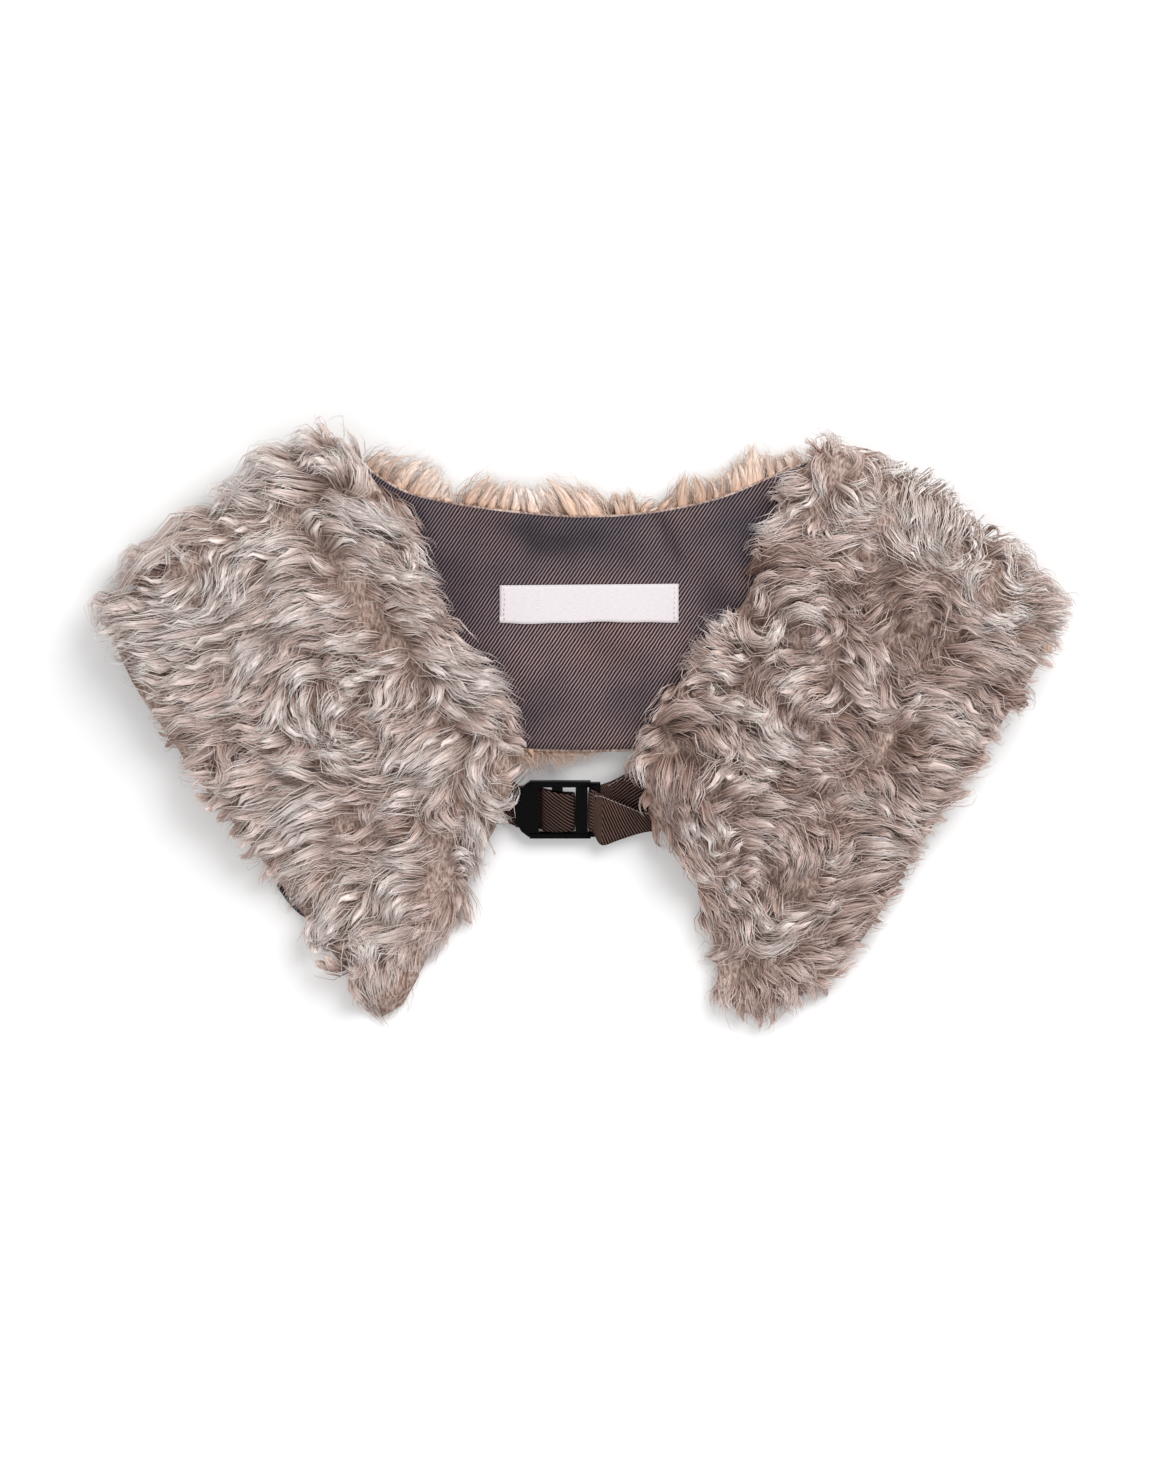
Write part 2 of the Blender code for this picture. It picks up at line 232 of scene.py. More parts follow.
class Wing:
    # One front, opened out past its fold: a place is a point of that plane and a height over the backing
    def __init__(self, side, rows, wrapRadius):
        self.side = side
        self.wrapRadius = wrapRadius
        front = smoothRows(rows, formSettings["frontSteps"])
        self.neckEnd, outerEnd = front[0, 0:2], front[0, 2:4]
        run = unit(outerEnd - self.neckEnd)
        out = np.array([-run[1], run[0]])
        self.out = out if out[1] > 0 else -out
        steps = formSettings["wrapSteps"]
        wraps = np.arange(1, steps + 1)[::-1] * (math.pi * wrapRadius / steps)
        wrapped = np.repeat(front[:1], steps, axis=0)
        wrapped[:, 0:2] += self.out * wraps[:, None]
        wrapped[:, 2:4] += self.out * wraps[:, None]
        wrapped[:, 4] += (formSettings["underPile"] - front[0, 4]) * ease(wraps / wraps.max())
        self.rows = np.vstack([wrapped, front])
        last = front[-1]
        self.tip = (last[0:2] + last[2:4]) / 2
        self.tipWay = unit(self.tip - (front[-5, 0:2] + front[-5, 2:4]) / 2)

    def edges(self, places):
        neck, neckRow, outer, outerRow = edgeDepths(self.rows, places)
        end = -((places - self.tip) @ self.tipWay)
        pile = (self.rows[neckRow, 4] + self.rows[outerRow, 4]) / 2
        return Depths(neck, outer, end, pile, neckRow, outerRow)

    def backing(self, places):
        cx, cy, radius = formSettings["outerArc"]
        start, end = formSettings["drop"]
        past = np.hypot(places[:, 0] - cx, places[:, 1] - cy) - radius
        rest = liningLevel + formSettings["layerGap"]
        own = formSettings["seamGap"] + formSettings["liningThick"]
        inward = (self.neckEnd - places) @ self.out
        lift = (backingAtFold - own - rest) * np.exp(-((inward / formSettings["puffReach"]) ** 2))
        return rest * (1 - ease((past - start) / (end - start))) + lift + own

    def put(self, places, heights):
        # Points in the frame, in millimetres
        past = (places - self.neckEnd) @ self.out
        turn = np.clip(past / self.wrapRadius, 0.0, math.pi)
        flat = places - self.out * np.maximum(past, 0.0)[:, None]
        reach = formSettings["foldRadius"] + heights
        under = np.maximum(past - math.pi * self.wrapRadius, 0.0)
        plan = flat + self.out * (reach * np.sin(turn) * (past > 0) - under)[:, None]
        level = np.where(past > 0, foldAxis + reach * np.cos(turn), self.backing(places) + heights)
        return np.column_stack([plan + layoutShift, np.maximum(level, 0.3)])


class Under:
    # The back panel's pile, which lies face down
    def __init__(self):
        self.rows = smoothRows(back, formSettings["frontSteps"])

    def edges(self, places):
        neck, neckRow, outer, outerRow = edgeDepths(self.rows, places)
        end = np.minimum(*((wing.neckEnd - places) @ wing.out for wing in (leftWing, rightWing)))
        return Depths(neck, outer, end, self.rows[neckRow, 4], neckRow, outerRow)

    def put(self, places, heights):
        level = formSettings["backingLevel"] - heights
        return np.column_stack([places + layoutShift, np.maximum(level, 0.3)])


leftWing = Wing(-1, leftFront, 19.0)
rightWing = Wing(1, rightFront, 15.0)
underside = Under()

print("how the pile lies")

# A sweep is a stroke of the comb, in the frame: where the hair is rooted, its middle and its tips,
# how far around it hair follows, and how light and how high the hair is there, each from -1 to 1.
# Their lightness is partly the hair's own tone and partly painted shade in hollows and painted light on
# crests.
Sweep = namedtuple("Sweep", "rootX rootY midX midY tipX tipY reach tone lift")
leftSweeps = table(
    Sweep,
    # lobe at the shoulder
    (-98, 106, -100, 118, -106, 126, 9, 0.3, 0.3), (-109, 117, -115, 116, -115, 108, 7, 0.1, 0.2),
    (-100, 98, -103, 106, -110, 110, 8, -0.2, 0),
    # along the fold
    (-119, 111, -133, 111, -148, 105, 8, 0.5, 0.2), (-103, 112, -109, 119, -104, 125, 5, 0.3, 0.4),
    (-96, 108, -99, 117, -97, 121, 5, 0.1, 0.2), (-108, 106, -128, 108, -150, 101, 12, 0.45, 0.3),
    (-118, 114, -136, 105, -156, 86, 10, 0.2, 0), (-152, 92, -178, 70, -200, 48, 13, 0.1, 0),
    (-116, 138, -142, 118, -166, 98, 16, 0, 0), (-160, 104, -184, 82, -206, 62, 16, 0, 0),
    (-105, 98, -122, 100, -140, 98, 9, 0.3, 0.2), (-118, 100, -128, 98, -127, 84, 8, -0.7, -0.6),
    (-126, 96, -140, 96, -152, 98, 9, 0.2, 0.1), (-132, 90, -146, 92, -156, 86, 9, -0.4, -0.4),
    (-120, 92, -106, 90, -92, 82, 9, 0.3, 0.2), (-116, 80, -103, 82, -86, 74, 9, 0.2, 0.1),
    (-108, 70, -96, 70, -80, 60, 8, 0.1, 0.1),
    # the long arcs of the middle
    (-110, 74, -126, 76, -142, 68, 9, 0.2, 0.1), (-132, 72, -143, 66, -149, 52, 8, 0.1, 0),
    (-106, 62, -124, 64, -140, 54, 9, 0.3, 0.1), (-134, 62, -144, 52, -158, 44, 8, 0.2, 0),
    (-150, 84, -164, 84, -172, 76, 9, -0.4, -0.2), (-158, 84, -172, 72, -160, 64, 8, 0.2, 0),
    (-160, 60, -176, 50, -190, 53, 9, 0.35, 0.1), (-160, 95, -168, 88, -180, 78, 9, -0.2, 0),
    # lobe and pocket at the left corner
    (-176, 78, -192, 70, -203, 62, 10, 0.3, 0.4), (-180, 66, -192, 60, -202, 52, 7, -0.8, -0.6),
    (-176, 52, -194, 46, -209, 44, 9, 0.2, 0.2), (-158, 46, -182, 40, -208, 38, 10, 0.15, 0.1),
    (-146, 42, -168, 34, -200, 30, 11, 0.25, 0), (-95, 50, -116, 44, -136, 34, 9, 0.35, 0.2),
    (-112, 36, -122, 34, -130, 26, 7, -0.6, -0.5),
    (-128, 40, -140, 28, -146, 14, 8, 0.8, 0.3),  # whitish tuft
    (-148, 24, -164, 18, -184, 14, 10, 0.2, 0), (-142, 12, -158, 6, -176, 0, 9, 0, -0.2),
    (-140, 0, -156, -4, -174, -10, 9, -0.2, -0.2),
    (-145, -6, -152, -14, -145, -22, 6, -0.6, -0.3),  # brown hook
    (-118, -4, -132, -10, -146, -10, 8, 0.2, 0), (-120, -16, -142, -22, -166, -30, 10, 0, 0),
    (-108, -28, -128, -32, -154, -44, 10, 0.15, 0), (-96, -36, -116, -38, -140, -52, 10, 0.3, 0.1),
    (-100, -48, -118, -54, -136, -64, 10, 0.2, 0), (-120, -62, -128, -70, -132, -78, 8, 0.3, -0.2),
    # closed curl
    (-102, 18, -118, 20, -126, 8, 7, 0.6, 0.3), (-126, 8, -122, -4, -110, -6, 7, 0.5, 0.2),
    (-118, 14, -121, 4, -112, -1, 5, 0.3, 0), (-112, 14, -106, 12, -108, 6, 5, -0.5, -0.5),
    (-95, 12, -104, 4, -110, -4, 5, 0.8, 0.5), (-84, 36, -98, 34, -112, 31, 8, 0.5, 0.4),
    (-98, 27, -106, 26, -110, 20, 6, -0.8, -0.6), (-68, 26, -80, 22, -94, 24, 8, 0.3, 0.2),
    (-66, 24, -60, 10, -72, -1, 8, 0.4, 0.1), (-76, 20, -72, 8, -86, 2, 8, 0.3, 0),
    (-84, 14, -84, 4, -96, -2, 7, 0.1, -0.1),
    # down the neck edge
    (-88, 98, -84, 92, -78, 84, 7, 0, 0), (-92, 84, -82, 80, -72, 78, 7, 0.3, 0.2),
    (-94, 72, -84, 72, -76, 66, 6, -0.3, -0.2), (-82, 74, -74, 72, -73, 62, 5, 0.2, 0.1),
    (-90, 62, -76, 60, -61, 59, 7, 0.5, 0.3), (-80, 54, -68, 52, -58, 46, 7, -0.2, 0),
    (-86, 48, -70, 44, -56, 38, 8, 0.1, 0.1), (-78, 34, -62, 30, -46, 24, 8, 0.3, 0.2),
    (-62, 20, -42, 16, -29, 14, 8, 0.8, 0.4), (-56, 8, -38, 6, -27, 0, 8, -0.1, 0),
    (-60, 0, -44, -4, -30, -8, 7, 0, 0), (-42, -4, -58, -16, -74, -26, 9, 0.4, 0.2),
    (-52, -2, -68, -12, -84, -26, 9, 0.35, 0.1), (-74, -18, -88, -26, -102, -20, 8, 0.3, 0.1),
    (-70, -28, -84, -31, -98, -30, 6, -0.7, -0.5), (-104, -4, -94, -6, -82, -10, 6, -0.6, -0.4),
    (-80, -8, -92, -14, -104, -14, 8, 0.35, 0.2),
    # round curl by the buckle
    (-40, -8, -45, -22, -38, -33, 7, 0.4, 0.4), (-39, -33, -32, -35, -28, -28, 6, 0.5, 0.3),
    (-40, -16, -38, -26, -31, -26, 5, -0.1, 0.1), (-47, -34, -39, -39, -32, -40, 6, 0.2, 0),
    (-56, -30, -52, -38, -50, -42, 6, -0.6, -0.4), (-48, -34, -44, -44, -45, -54, 6, 0.7, 0.2),
    (-60, -30, -76, -33, -88, -38, 7, 0.3, 0.2), (-86, -34, -92, -40, -90, -46, 5, 0.1, 0),
    (-66, -44, -80, -46, -92, -48, 7, -0.7, -0.6), (-72, -38, -62, -47, -54, -43, 6, 0.3, 0.1),
    (-54, -50, -76, -57, -96, -58, 8, 0.3, 0.1), (-60, -64, -74, -60, -90, -64, 8, 0.3, 0.1),
    (-58, -64, -50, -62, -46, -68, 6, 0.4, 0.2), (-56, -66, -50, -72, -47, -80, 6, 0, 0),
    (-62, -70, -80, -72, -85, -82, 8, 0.4, 0.2), (-62, -77, -76, -80, -81, -90, 7, 0.4, 0.2),
    (-90, -62, -102, -65, -106, -72, 7, -0.3, -0.1), (-98, -72, -108, -82, -116, -94, 9, 0.5, 0.1),
    (-108, -66, -118, -74, -126, -84, 8, 0.1, -0.1), (-66, -84, -84, -92, -104, -95, 8, 0.4, 0.2),
    # small ring near the point
    (-108, -97, -98, -95, -93, -102, 5, 0.2, 0.1), (-93, -102, -98, -109, -107, -104, 5, 0.1, 0),
    (-80, -95, -90, -96, -91, -112, 6, 0.7, 0.3), (-76, -92, -80, -102, -82, -112, 7, 0.1, 0),
    (-60, -76, -64, -92, -70, -108, 8, -0.1, -0.1), (-56, -72, -52, -82, -50, -90, 7, 0.2, -0.2),
    (-100, -110, -92, -116, -82, -114, 6, -0.8, -0.5), (-86, -112, -88, -122, -85, -129, 7, 0, 0),
    (-92, -116, -92, -124, -88, -128, 6, -0.1, 0), (-74, -108, -78, -118, -82, -126, 7, 0.1, -0.1),
    (-96, -106, -95, -116, -90, -125, 5, 0.2, 0.4), (-88, -102, -90, -112, -86, -124, 5, 0.4, 0.5),
    (-82, -102, -84, -112, -82, -122, 5, 0.1, 0.4), (-76, -98, -76, -107, -78, -117, 5, 0.3, 0.3),
)
rightSweeps = table(
    Sweep,
    # two tufts at the shoulder
    (104, 112, 99, 118, 97, 125, 6, 0.1, 0.3), (108, 114, 112, 120, 112, 127, 6, 0.3, 0.3),
    (112, 100, 118, 110, 110, 117, 7, 0.1, 0.2), (106, 114, 102, 106, 106, 98, 6, 0.2, 0.1),
    (114, 120, 126, 112, 129, 98, 8, 0.4, 0.3), (100, 96, 88, 98, 78, 98, 7, 0.3, 0.1),
    (94, 90, 84, 84, 72, 82, 7, 0.7, 0.2), (98, 84, 88, 80, 76, 76, 7, 0.1, 0),
    (106, 100, 107, 92, 105, 84, 5, -0.7, -0.5), (110, 98, 112, 90, 122, 87, 7, 0.4, 0.4),
    (108, 92, 118, 84, 130, 88, 7, 0.3, 0.3), (110, 84, 116, 82, 124, 80, 6, -0.2, -0.2),
    (92, 72, 108, 75, 126, 80, 7, 0.4, 0.2),
    # smooth fall from the fold
    (134, 112, 134, 96, 132, 82, 9, 0.2, 0.2), (132, 92, 136, 76, 152, 66, 7, 0.3, 0.1),
    (150, 68, 157, 66, 163, 71, 5, 0.5, 0.2), (146, 108, 144, 90, 146, 74, 9, 0.6, 0.5),
    (160, 100, 156, 86, 156, 72, 9, 0.55, 0.5), (172, 92, 168, 80, 166, 72, 8, 0.3, 0.3),
    (176, 88, 176, 82, 178, 76, 5, -0.6, -0.3), (130, 84, 136, 70, 150, 63, 5, -0.8, -0.7),
    (172, 74, 178, 72, 182, 62, 6, 0.1, 0.1),
    # open curl near the right corner
    (182, 66, 168, 64, 166, 52, 5, 0.8, 0.4), (167, 50, 174, 42, 188, 42, 6, 0.5, 0.2),
    (176, 60, 171, 54, 176, 48, 5, -0.3, 0), (184, 52, 196, 58, 208, 54, 7, 0.4, 0.3),
    (190, 60, 202, 60, 212, 50, 6, 0.3, 0.3), (186, 50, 200, 48, 210, 44, 7, 0.2, 0.1),
    (186, 42, 198, 44, 209, 40, 7, 0.4, 0.1), (176, 38, 192, 38, 206, 30, 7, -0.3, -0.1),
    (160, 36, 178, 34, 200, 24, 8, 0.1, 0), (150, 26, 170, 28, 196, 18, 8, 0.3, 0.1),
    (148, 20, 168, 20, 190, 12, 8, -0.5, -0.3), (182, 74, 192, 68, 200, 62, 7, 0.3, 0.2),
    # dark whorl
    (116, 40, 124, 58, 142, 66, 9, -0.7, 0.2), (140, 66, 156, 64, 164, 52, 8, -0.4, 0.1),
    (124, 36, 132, 52, 148, 53, 7, -0.6, 0.2), (146, 53, 154, 48, 152, 38, 6, -0.4, 0.1),
    (132, 34, 138, 44, 147, 44, 6, -0.5, 0.1), (146, 44, 150, 38, 146, 32, 5, -0.3, 0),
    (150, 30, 140, 22, 128, 24, 7, -0.4, -0.1), (152, 36, 152, 32, 155, 28, 4, -1, -0.6),
    (156, 46, 166, 43, 176, 38, 7, 0.1, 0.1),
    # round swirl beside it
    (74, 62, 90, 70, 110, 62, 7, -0.3, 0.1), (96, 68, 112, 66, 118, 56, 7, -0.2, 0),
    (74, 50, 88, 60, 108, 56, 7, 0, 0.2), (74, 38, 84, 54, 102, 54, 7, 0.2, 0.3),
    (98, 54, 112, 50, 114, 38, 7, 0, 0.1), (82, 34, 92, 46, 106, 40, 6, 0.6, 0.4),
    (104, 42, 102, 34, 92, 32, 6, 0.4, 0.2), (112, 36, 100, 26, 86, 30, 6, 0.1, 0),
    (72, 50, 68, 38, 76, 26, 6, 0.5, 0.2),
    # tufts along the neck edge
    (64, 28, 58, 38, 50, 44, 6, 0.3, 0.3), (66, 34, 62, 42, 56, 43, 6, 0.9, 0.4),
    (60, 26, 52, 30, 46, 38, 6, -0.2, 0), (74, 20, 58, 24, 44, 21, 7, 0.3, 0.2),
    (66, 16, 50, 18, 38, 10, 6, 0.3, 0.3), (42, 9, 60, 8, 76, 0, 6, 0.5, 0.4),
    (74, 0, 84, -12, 99, -15, 6, 0.7, 0.4), (66, -2, 76, -12, 92, -18, 6, 0.5, 0.2),
    (60, -6, 70, -16, 84, -22, 5, 0.3, 0.2), (70, -14, 76, -22, 88, -22, 4, 0.6, 0.3),
    # bright-edged curl in the middle
    (108, 19, 92, 18, 82, 8, 6, 0.7, 0.5), (82, 8, 82, -4, 94, -12, 6, 0.8, 0.4),
    (104, 12, 92, 10, 88, 0, 6, 0.3, 0.3), (88, 0, 92, -8, 99, -8, 5, 0.3, 0.2),
    (98, -10, 96, 2, 108, 4, 5, 0.2, 0.2), (112, 8, 100, 8, 96, 0, 5, -0.3, 0.1),
    (80, 20, 76, 14, 79, 6, 5, -0.6, -0.4), (104, 28, 116, 18, 126, 8, 7, 0.1, 0.1),
    (116, 38, 126, 26, 136, 16, 7, 0.2, 0.1), (110, 30, 114, 26, 116, 22, 4, 0.6, 0.4),
    (130, 34, 138, 24, 146, 16, 7, -0.3, -0.1),
    # wavy locks to the outer edge
    (136, 10, 152, 10, 170, 6, 8, 0.4, 0.1), (140, 16, 158, 18, 174, 14, 8, 0, 0),
    (136, -4, 152, 0, 166, -10, 7, 0.6, 0.3), (128, -8, 140, -14, 150, -14, 6, -0.8, -0.5),
    (144, -12, 156, -12, 170, -16, 6, 0.3, 0.2), (138, -16, 152, -18, 164, -16, 5, -0.7, -0.4),
    (134, -20, 152, -18, 170, -26, 7, 0.2, 0.2), (130, -24, 140, -38, 156, -40, 7, 0.2, 0.2),
    (136, -24, 150, -32, 164, -28, 7, 0.1, 0.1), (106, -2, 116, -8, 124, -18, 8, -0.4, -0.2),
    (100, -14, 110, -20, 120, -14, 6, -0.3, -0.2), (110, -20, 114, -28, 110, -36, 6, 0, 0),
    (78, -22, 90, -30, 106, -24, 7, -0.6, -0.2),
    # left lobe and the hair over the strap
    (33, -6, 46, 2, 60, -6, 7, 0.2, 0.3), (58, -4, 64, -14, 56, -22, 6, 0.3, 0.2),
    (40, -4, 50, -8, 52, -16, 6, -0.2, 0.2), (36, -2, 28, -8, 22, -16, 6, 0.3, 0),
    (30, -14, 24, -20, 28, -34, 6, 0.5, 0.1), (36, -14, 34, -28, 38, -46, 7, -0.1, 0),
    (44, -12, 42, -26, 42, -40, 7, -0.5, -0.1), (50, -20, 48, -30, 52, -38, 6, -0.6, -0.3),
    (58, -38, 68, -30, 84, -34, 6, 0.3, 0.2), (62, -42, 66, -40, 72, -42, 5, -0.8, -0.6),
    # whitish tufts
    (44, -38, 46, -46, 48, -54, 5, 0.9, 0.3), (52, -42, 58, -46, 59, -54, 5, 0.9, 0.3),
    # large lower whorl
    (62, -42, 80, -37, 98, -42, 6, 0.4, 0.2), (60, -48, 78, -44, 92, -52, 7, 0.2, 0.3),
    (90, -50, 97, -60, 90, -74, 7, 0, 0.1), (60, -56, 74, -52, 86, -60, 6, 0.3, 0.3),
    (86, -58, 90, -66, 84, -76, 6, -0.2, 0), (64, -62, 74, -58, 82, -66, 5, 0.3, 0.2),
    (80, -66, 82, -74, 78, -80, 5, -0.2, 0), (66, -68, 74, -68, 77, -76, 5, 0.3, 0.2),
    (100, -42, 106, -54, 98, -66, 7, 0, 0), (96, -66, 96, -72, 92, -78, 5, -1, -0.7),
    (104, -50, 114, -36, 130, -40, 7, 0.5, 0.3), (126, -38, 138, -44, 147, -50, 7, 0.5, 0.2),
    (110, -52, 122, -44, 140, -50, 6, -0.3, -0.1), (112, -56, 128, -53, 147, -57, 7, 0.6, 0.2),
    (100, -66, 106, -61, 111, -59, 4, 0.9, 0.4),
    # up and out to the lower edge
    (104, -76, 120, -66, 140, -62, 9, 0, 0), (100, -86, 116, -78, 134, -76, 9, -0.1, 0),
    (100, -98, 114, -90, 126, -90, 9, 0, -0.1), (96, -106, 108, -102, 118, -102, 8, 0.3, -0.2),
    (46, -58, 52, -68, 60, -68, 5, 0.7, 0.3), (58, -68, 64, -71, 63, -77, 4, 0.7, 0.3),
    (54, -70, 58, -76, 62, -78, 4, -0.8, -0.5), (40, -48, 47, -60, 55, -74, 7, -0.2, 0),
    (56, -70, 57, -82, 60, -94, 7, -0.1, 0), (66, -78, 74, -82, 75, -91, 5, 0.7, 0.3),
    (70, -92, 80, -99, 94, -88, 7, 0.7, 0.3), (78, -90, 92, -86, 106, -80, 7, 0.4, 0.1),
    (60, -84, 67, -88, 63, -94, 5, -0.5, -0.1), (72, -98, 74, -106, 76, -114, 6, -0.5, -0.1),
    (80, -112, 84, -102, 98, -98, 5, -0.8, -0.4), (84, -106, 94, -108, 99, -120, 6, 0.4, 0.1),
    (80, -112, 88, -116, 92, -124, 6, 0.2, 0), (70, -100, 60, -104, 50, -106, 6, 0.3, -0.2),
    (70, -106, 60, -114, 55, -120, 6, 0.2, -0.2), (74, -112, 74, -122, 76, -130, 6, 0.2, 0),
    (62, -110, 62, -120, 65, -130, 5, 0.2, 0.4), (70, -114, 70, -124, 73, -133, 5, -0.1, 0.4),
    (82, -114, 83, -124, 80, -132, 5, 0.3, 0.4),
)
# Tufts that stand past the back's neck edge, and the short hair past its hem
fringeTufts = table(
    Sweep,
    (-92, 98, -88, 108, -82, 112, 6, 0.2, 0.2), (-84, 95, -82, 106, -74, 112, 7, 0, 0.3),
    (-78, 93, -74, 103, -66, 111, 7, 0.2, 0.3), (-72, 91, -68, 100, -61, 107, 7, 0.1, 0.2),
    (-64, 89, -61, 96, -57, 101, 5, 0.3, 0), (-47, 86, -44, 95, -39, 103, 5, -0.4, 0.2),
    (-41, 85, -38, 93, -34, 99, 5, -0.5, 0), (-33, 84, -32, 93, -30, 101, 3, 0, 0.2),
    (-26, 83, -25, 93, -27, 101, 5, 0.5, 0), (-14, 82, -17, 92, -21, 101, 6, 0.6, 0.1),
    (-4, 82, -9, 92, -16, 101, 6, 0.1, 0.2), (4, 82, 0, 91, -7, 99, 5, -0.1, 0.1),
    (10, 82, 5, 90, -1, 100, 5, -0.3, 0.1), (12, 84, 11, 88, 8, 93, 4, 0.2, -0.2),
    (18, 83, 17, 91, 15, 98, 3, -0.5, 0.1), (21, 83, 21, 90, 20, 97, 3, -0.6, 0),
    (27, 85, 29, 90, 33, 93, 4, -0.2, -0.3), (36, 86, 38, 91, 42, 95, 4, -0.4, -0.2),
    (43, 87, 43, 96, 45, 105, 3, -0.5, 0.3), (48, 88, 50, 97, 48, 104, 4, -0.6, 0.2),
    (56, 89, 58, 98, 54, 105, 4, -0.3, 0.1), (62, 90, 64, 99, 61, 107, 5, 0, 0.1),
    (68, 92, 69, 102, 67, 111, 3, -0.4, 0.2), (75, 95, 74, 106, 73, 117, 4, -0.1, 0.3),
    (80, 98, 79, 107, 77, 114, 5, 0, 0.2), (86, 101, 85, 108, 83, 113, 5, 0.1, 0),
    (93, 106, 91, 111, 88, 115, 4, 0.2, 0), (-36, -9, -32, -17, -25, -22, 5, -0.3, 0),
    (-28, -9, -25, -17, -19, -21, 4, -0.2, 0), (-21, -9, -18, -16, -12, -20, 4, -0.5, 0),
    (-14, -9, -11, -15, -6, -20, 4, -0.3, 0), (-8, -9, -5, -15, -1, -19, 4, -0.5, 0),
    (-2, -9, 0, -14, 5, -18, 4, -0.6, 0), (4, -8, 6, -12, 9, -15, 4, -0.3, 0),
)
# The pile under the back, in the frame: mostly down and out to the hem, and out past the neck edge
underSweeps = table(
    Sweep,
    (-80, 60, -84, 40, -96, 14, 30, 0, 0), (-20, 60, -24, 30, -30, -2, 30, 0.1, 0),
    (40, 60, 36, 30, 34, -2, 30, 0, 0), (100, 66, 104, 40, 116, 18, 30, -0.1, 0),
    (-140, 60, -150, 44, -164, 30, 26, 0, 0), (150, 66, 160, 50, 172, 36, 26, 0, 0),
    (-60, 82, -66, 92, -78, 102, 12, 0.2, 0), (-24, 80, -28, 88, -38, 97, 12, 0, 0),
    (14, 78, 12, 88, 2, 96, 12, 0.1, 0), (44, 82, 44, 92, 36, 100, 12, 0, 0),
    (74, 88, 72, 100, 64, 108, 12, 0.1, 0), (100, 100, 98, 108, 92, 116, 10, 0, 0),
)
# Where the pile stands out further than elsewhere, or less far, in millimetres of the frame
Lobe = namedtuple("Lobe", "x y radius more")
lobes = table(
    Lobe,
    (-145, 107, 12, 3), (-155, 97, 12, 3), (-167, 89, 12, 5), (-179, 81, 12, 4), (-192, 70, 12, 3),
    (-205, 56, 11, 3), (-211, 41, 9, 1), (-201, 16, 14, -4), (-193, 1, 12, -3), (-168, -31, 10, 4),
    (-156, -48, 14, 7), (-139, -68, 12, 6), (-116, -98, 13, 7), (-104, -114, 12, 7), (-116, 124, 8, -2),
    (-106, 127, 6, 4), (-95, 121, 7, -4), (-91, 114, 9, -3), (-129, -75, 9, -9), (-26, -34, 11, -6),
    (-42, -67, 11, -3), (-48, -83, 10, -5), (-44, -90, 7, -5), (-65, -107, 12, -5), (-71, -119, 12, -8),
    (-90, -128, 6, -1), (-78, -132, 8, -7), (97, 126, 6, 3), (120, 119, 10, -6), (148, 103, 11, 4),
    (156, 97, 9, 4), (171, 86, 11, 6), (188, 72, 9, 5), (203, 61, 9, -5), (212, 48, 9, 4), (208, 37, 10, 5),
    (199, 23, 11, 8), (190, 8, 10, 4), (179, -10, 8, 1), (168, -26, 11, 5), (152, -47, 9, 1),
    (141, -63, 8, 2), (129, -85, 10, 3), (114, -106, 11, 4), (95, -124, 8, 1), (53, -109, 10, -1),
    (61, -126, 10, 1), (77, -133, 7, 3), (87, -127, 7, 2),
)


def lobed(form, places, pile):
    rows = np.array(lobes, float)
    plan = form.put(places, pile)[:, :2]
    d2 = ((plan[:, None] - rows[None, :, 0:2]) ** 2).sum(2)
    return (np.exp(-d2 / rows[:, 2] ** 2) * rows[:, 3]).sum(1)


def strokes(sweeps):
    # Roots, bending points and tips in the layout, then the reach, tone and lift of each sweep
    rows = np.array(sweeps, float)
    root, middle, tip = (rows[:, k : k + 2] - layoutShift for k in (0, 2, 4))
    return root, 2 * middle - (root + tip) / 2, tip, *rows[:, 6:].T


def strokeAt(root, control, tip, t):
    return (1 - t) ** 2 * root[:, None] + 2 * t * (1 - t) * control[:, None] + t * t * tip[:, None]


class Comb:
    # The sweeps, as places with a direction, a tone and a lift that nearby hair takes
    def __init__(self, sweeps, heading, parts=7):
        root, control, tip, *rest = strokes(sweeps)
        t = np.linspace(0.0, 1.0, parts)[None, :, None]
        self.at = strokeAt(root, control, tip, t).reshape(-1, 2)
        way = 2 * (1 - t) * (control - root)[:, None] + 2 * t * (tip - control)[:, None]
        self.way = unit(way).reshape(-1, 2)
        self.reach, self.tone, self.lift = (np.repeat(column, parts) for column in rest)
        self.rest = np.array([math.cos(math.radians(heading)), math.sin(math.radians(heading))])

    def read(self, places):
        # The way, tone and lift of the hair at each place
        d2 = ((places[:, None, :] - self.at[None]) ** 2).sum(2)
        weight = np.exp(-d2 / self.reach**2) / (1 + d2 / 6.0)
        total = weight.sum(1) + 0.02
        way = unit(weight @ self.way + self.rest * 0.004)
        return way, (weight @ self.tone) / total, (weight @ self.lift) / total


leftComb = Comb(leftSweeps, 200)
rightComb = Comb(rightSweeps, -20)
underComb = Comb(underSweeps, -100)


def drift(places, size, seed):
    # A slow, smooth, repeatable variation from about -1 to 1 over the surface
    dice = np.random.default_rng(seed)
    value = np.zeros(len(places))
    for _ in range(5):
        turn = dice.uniform(0, fullTurn)
        wave = np.array([math.cos(turn), math.sin(turn)]) * dice.uniform(0.6, 1.6) * fullTurn / size
        value += np.sin(places @ wave + dice.uniform(0, fullTurn))
    return value / 2.6


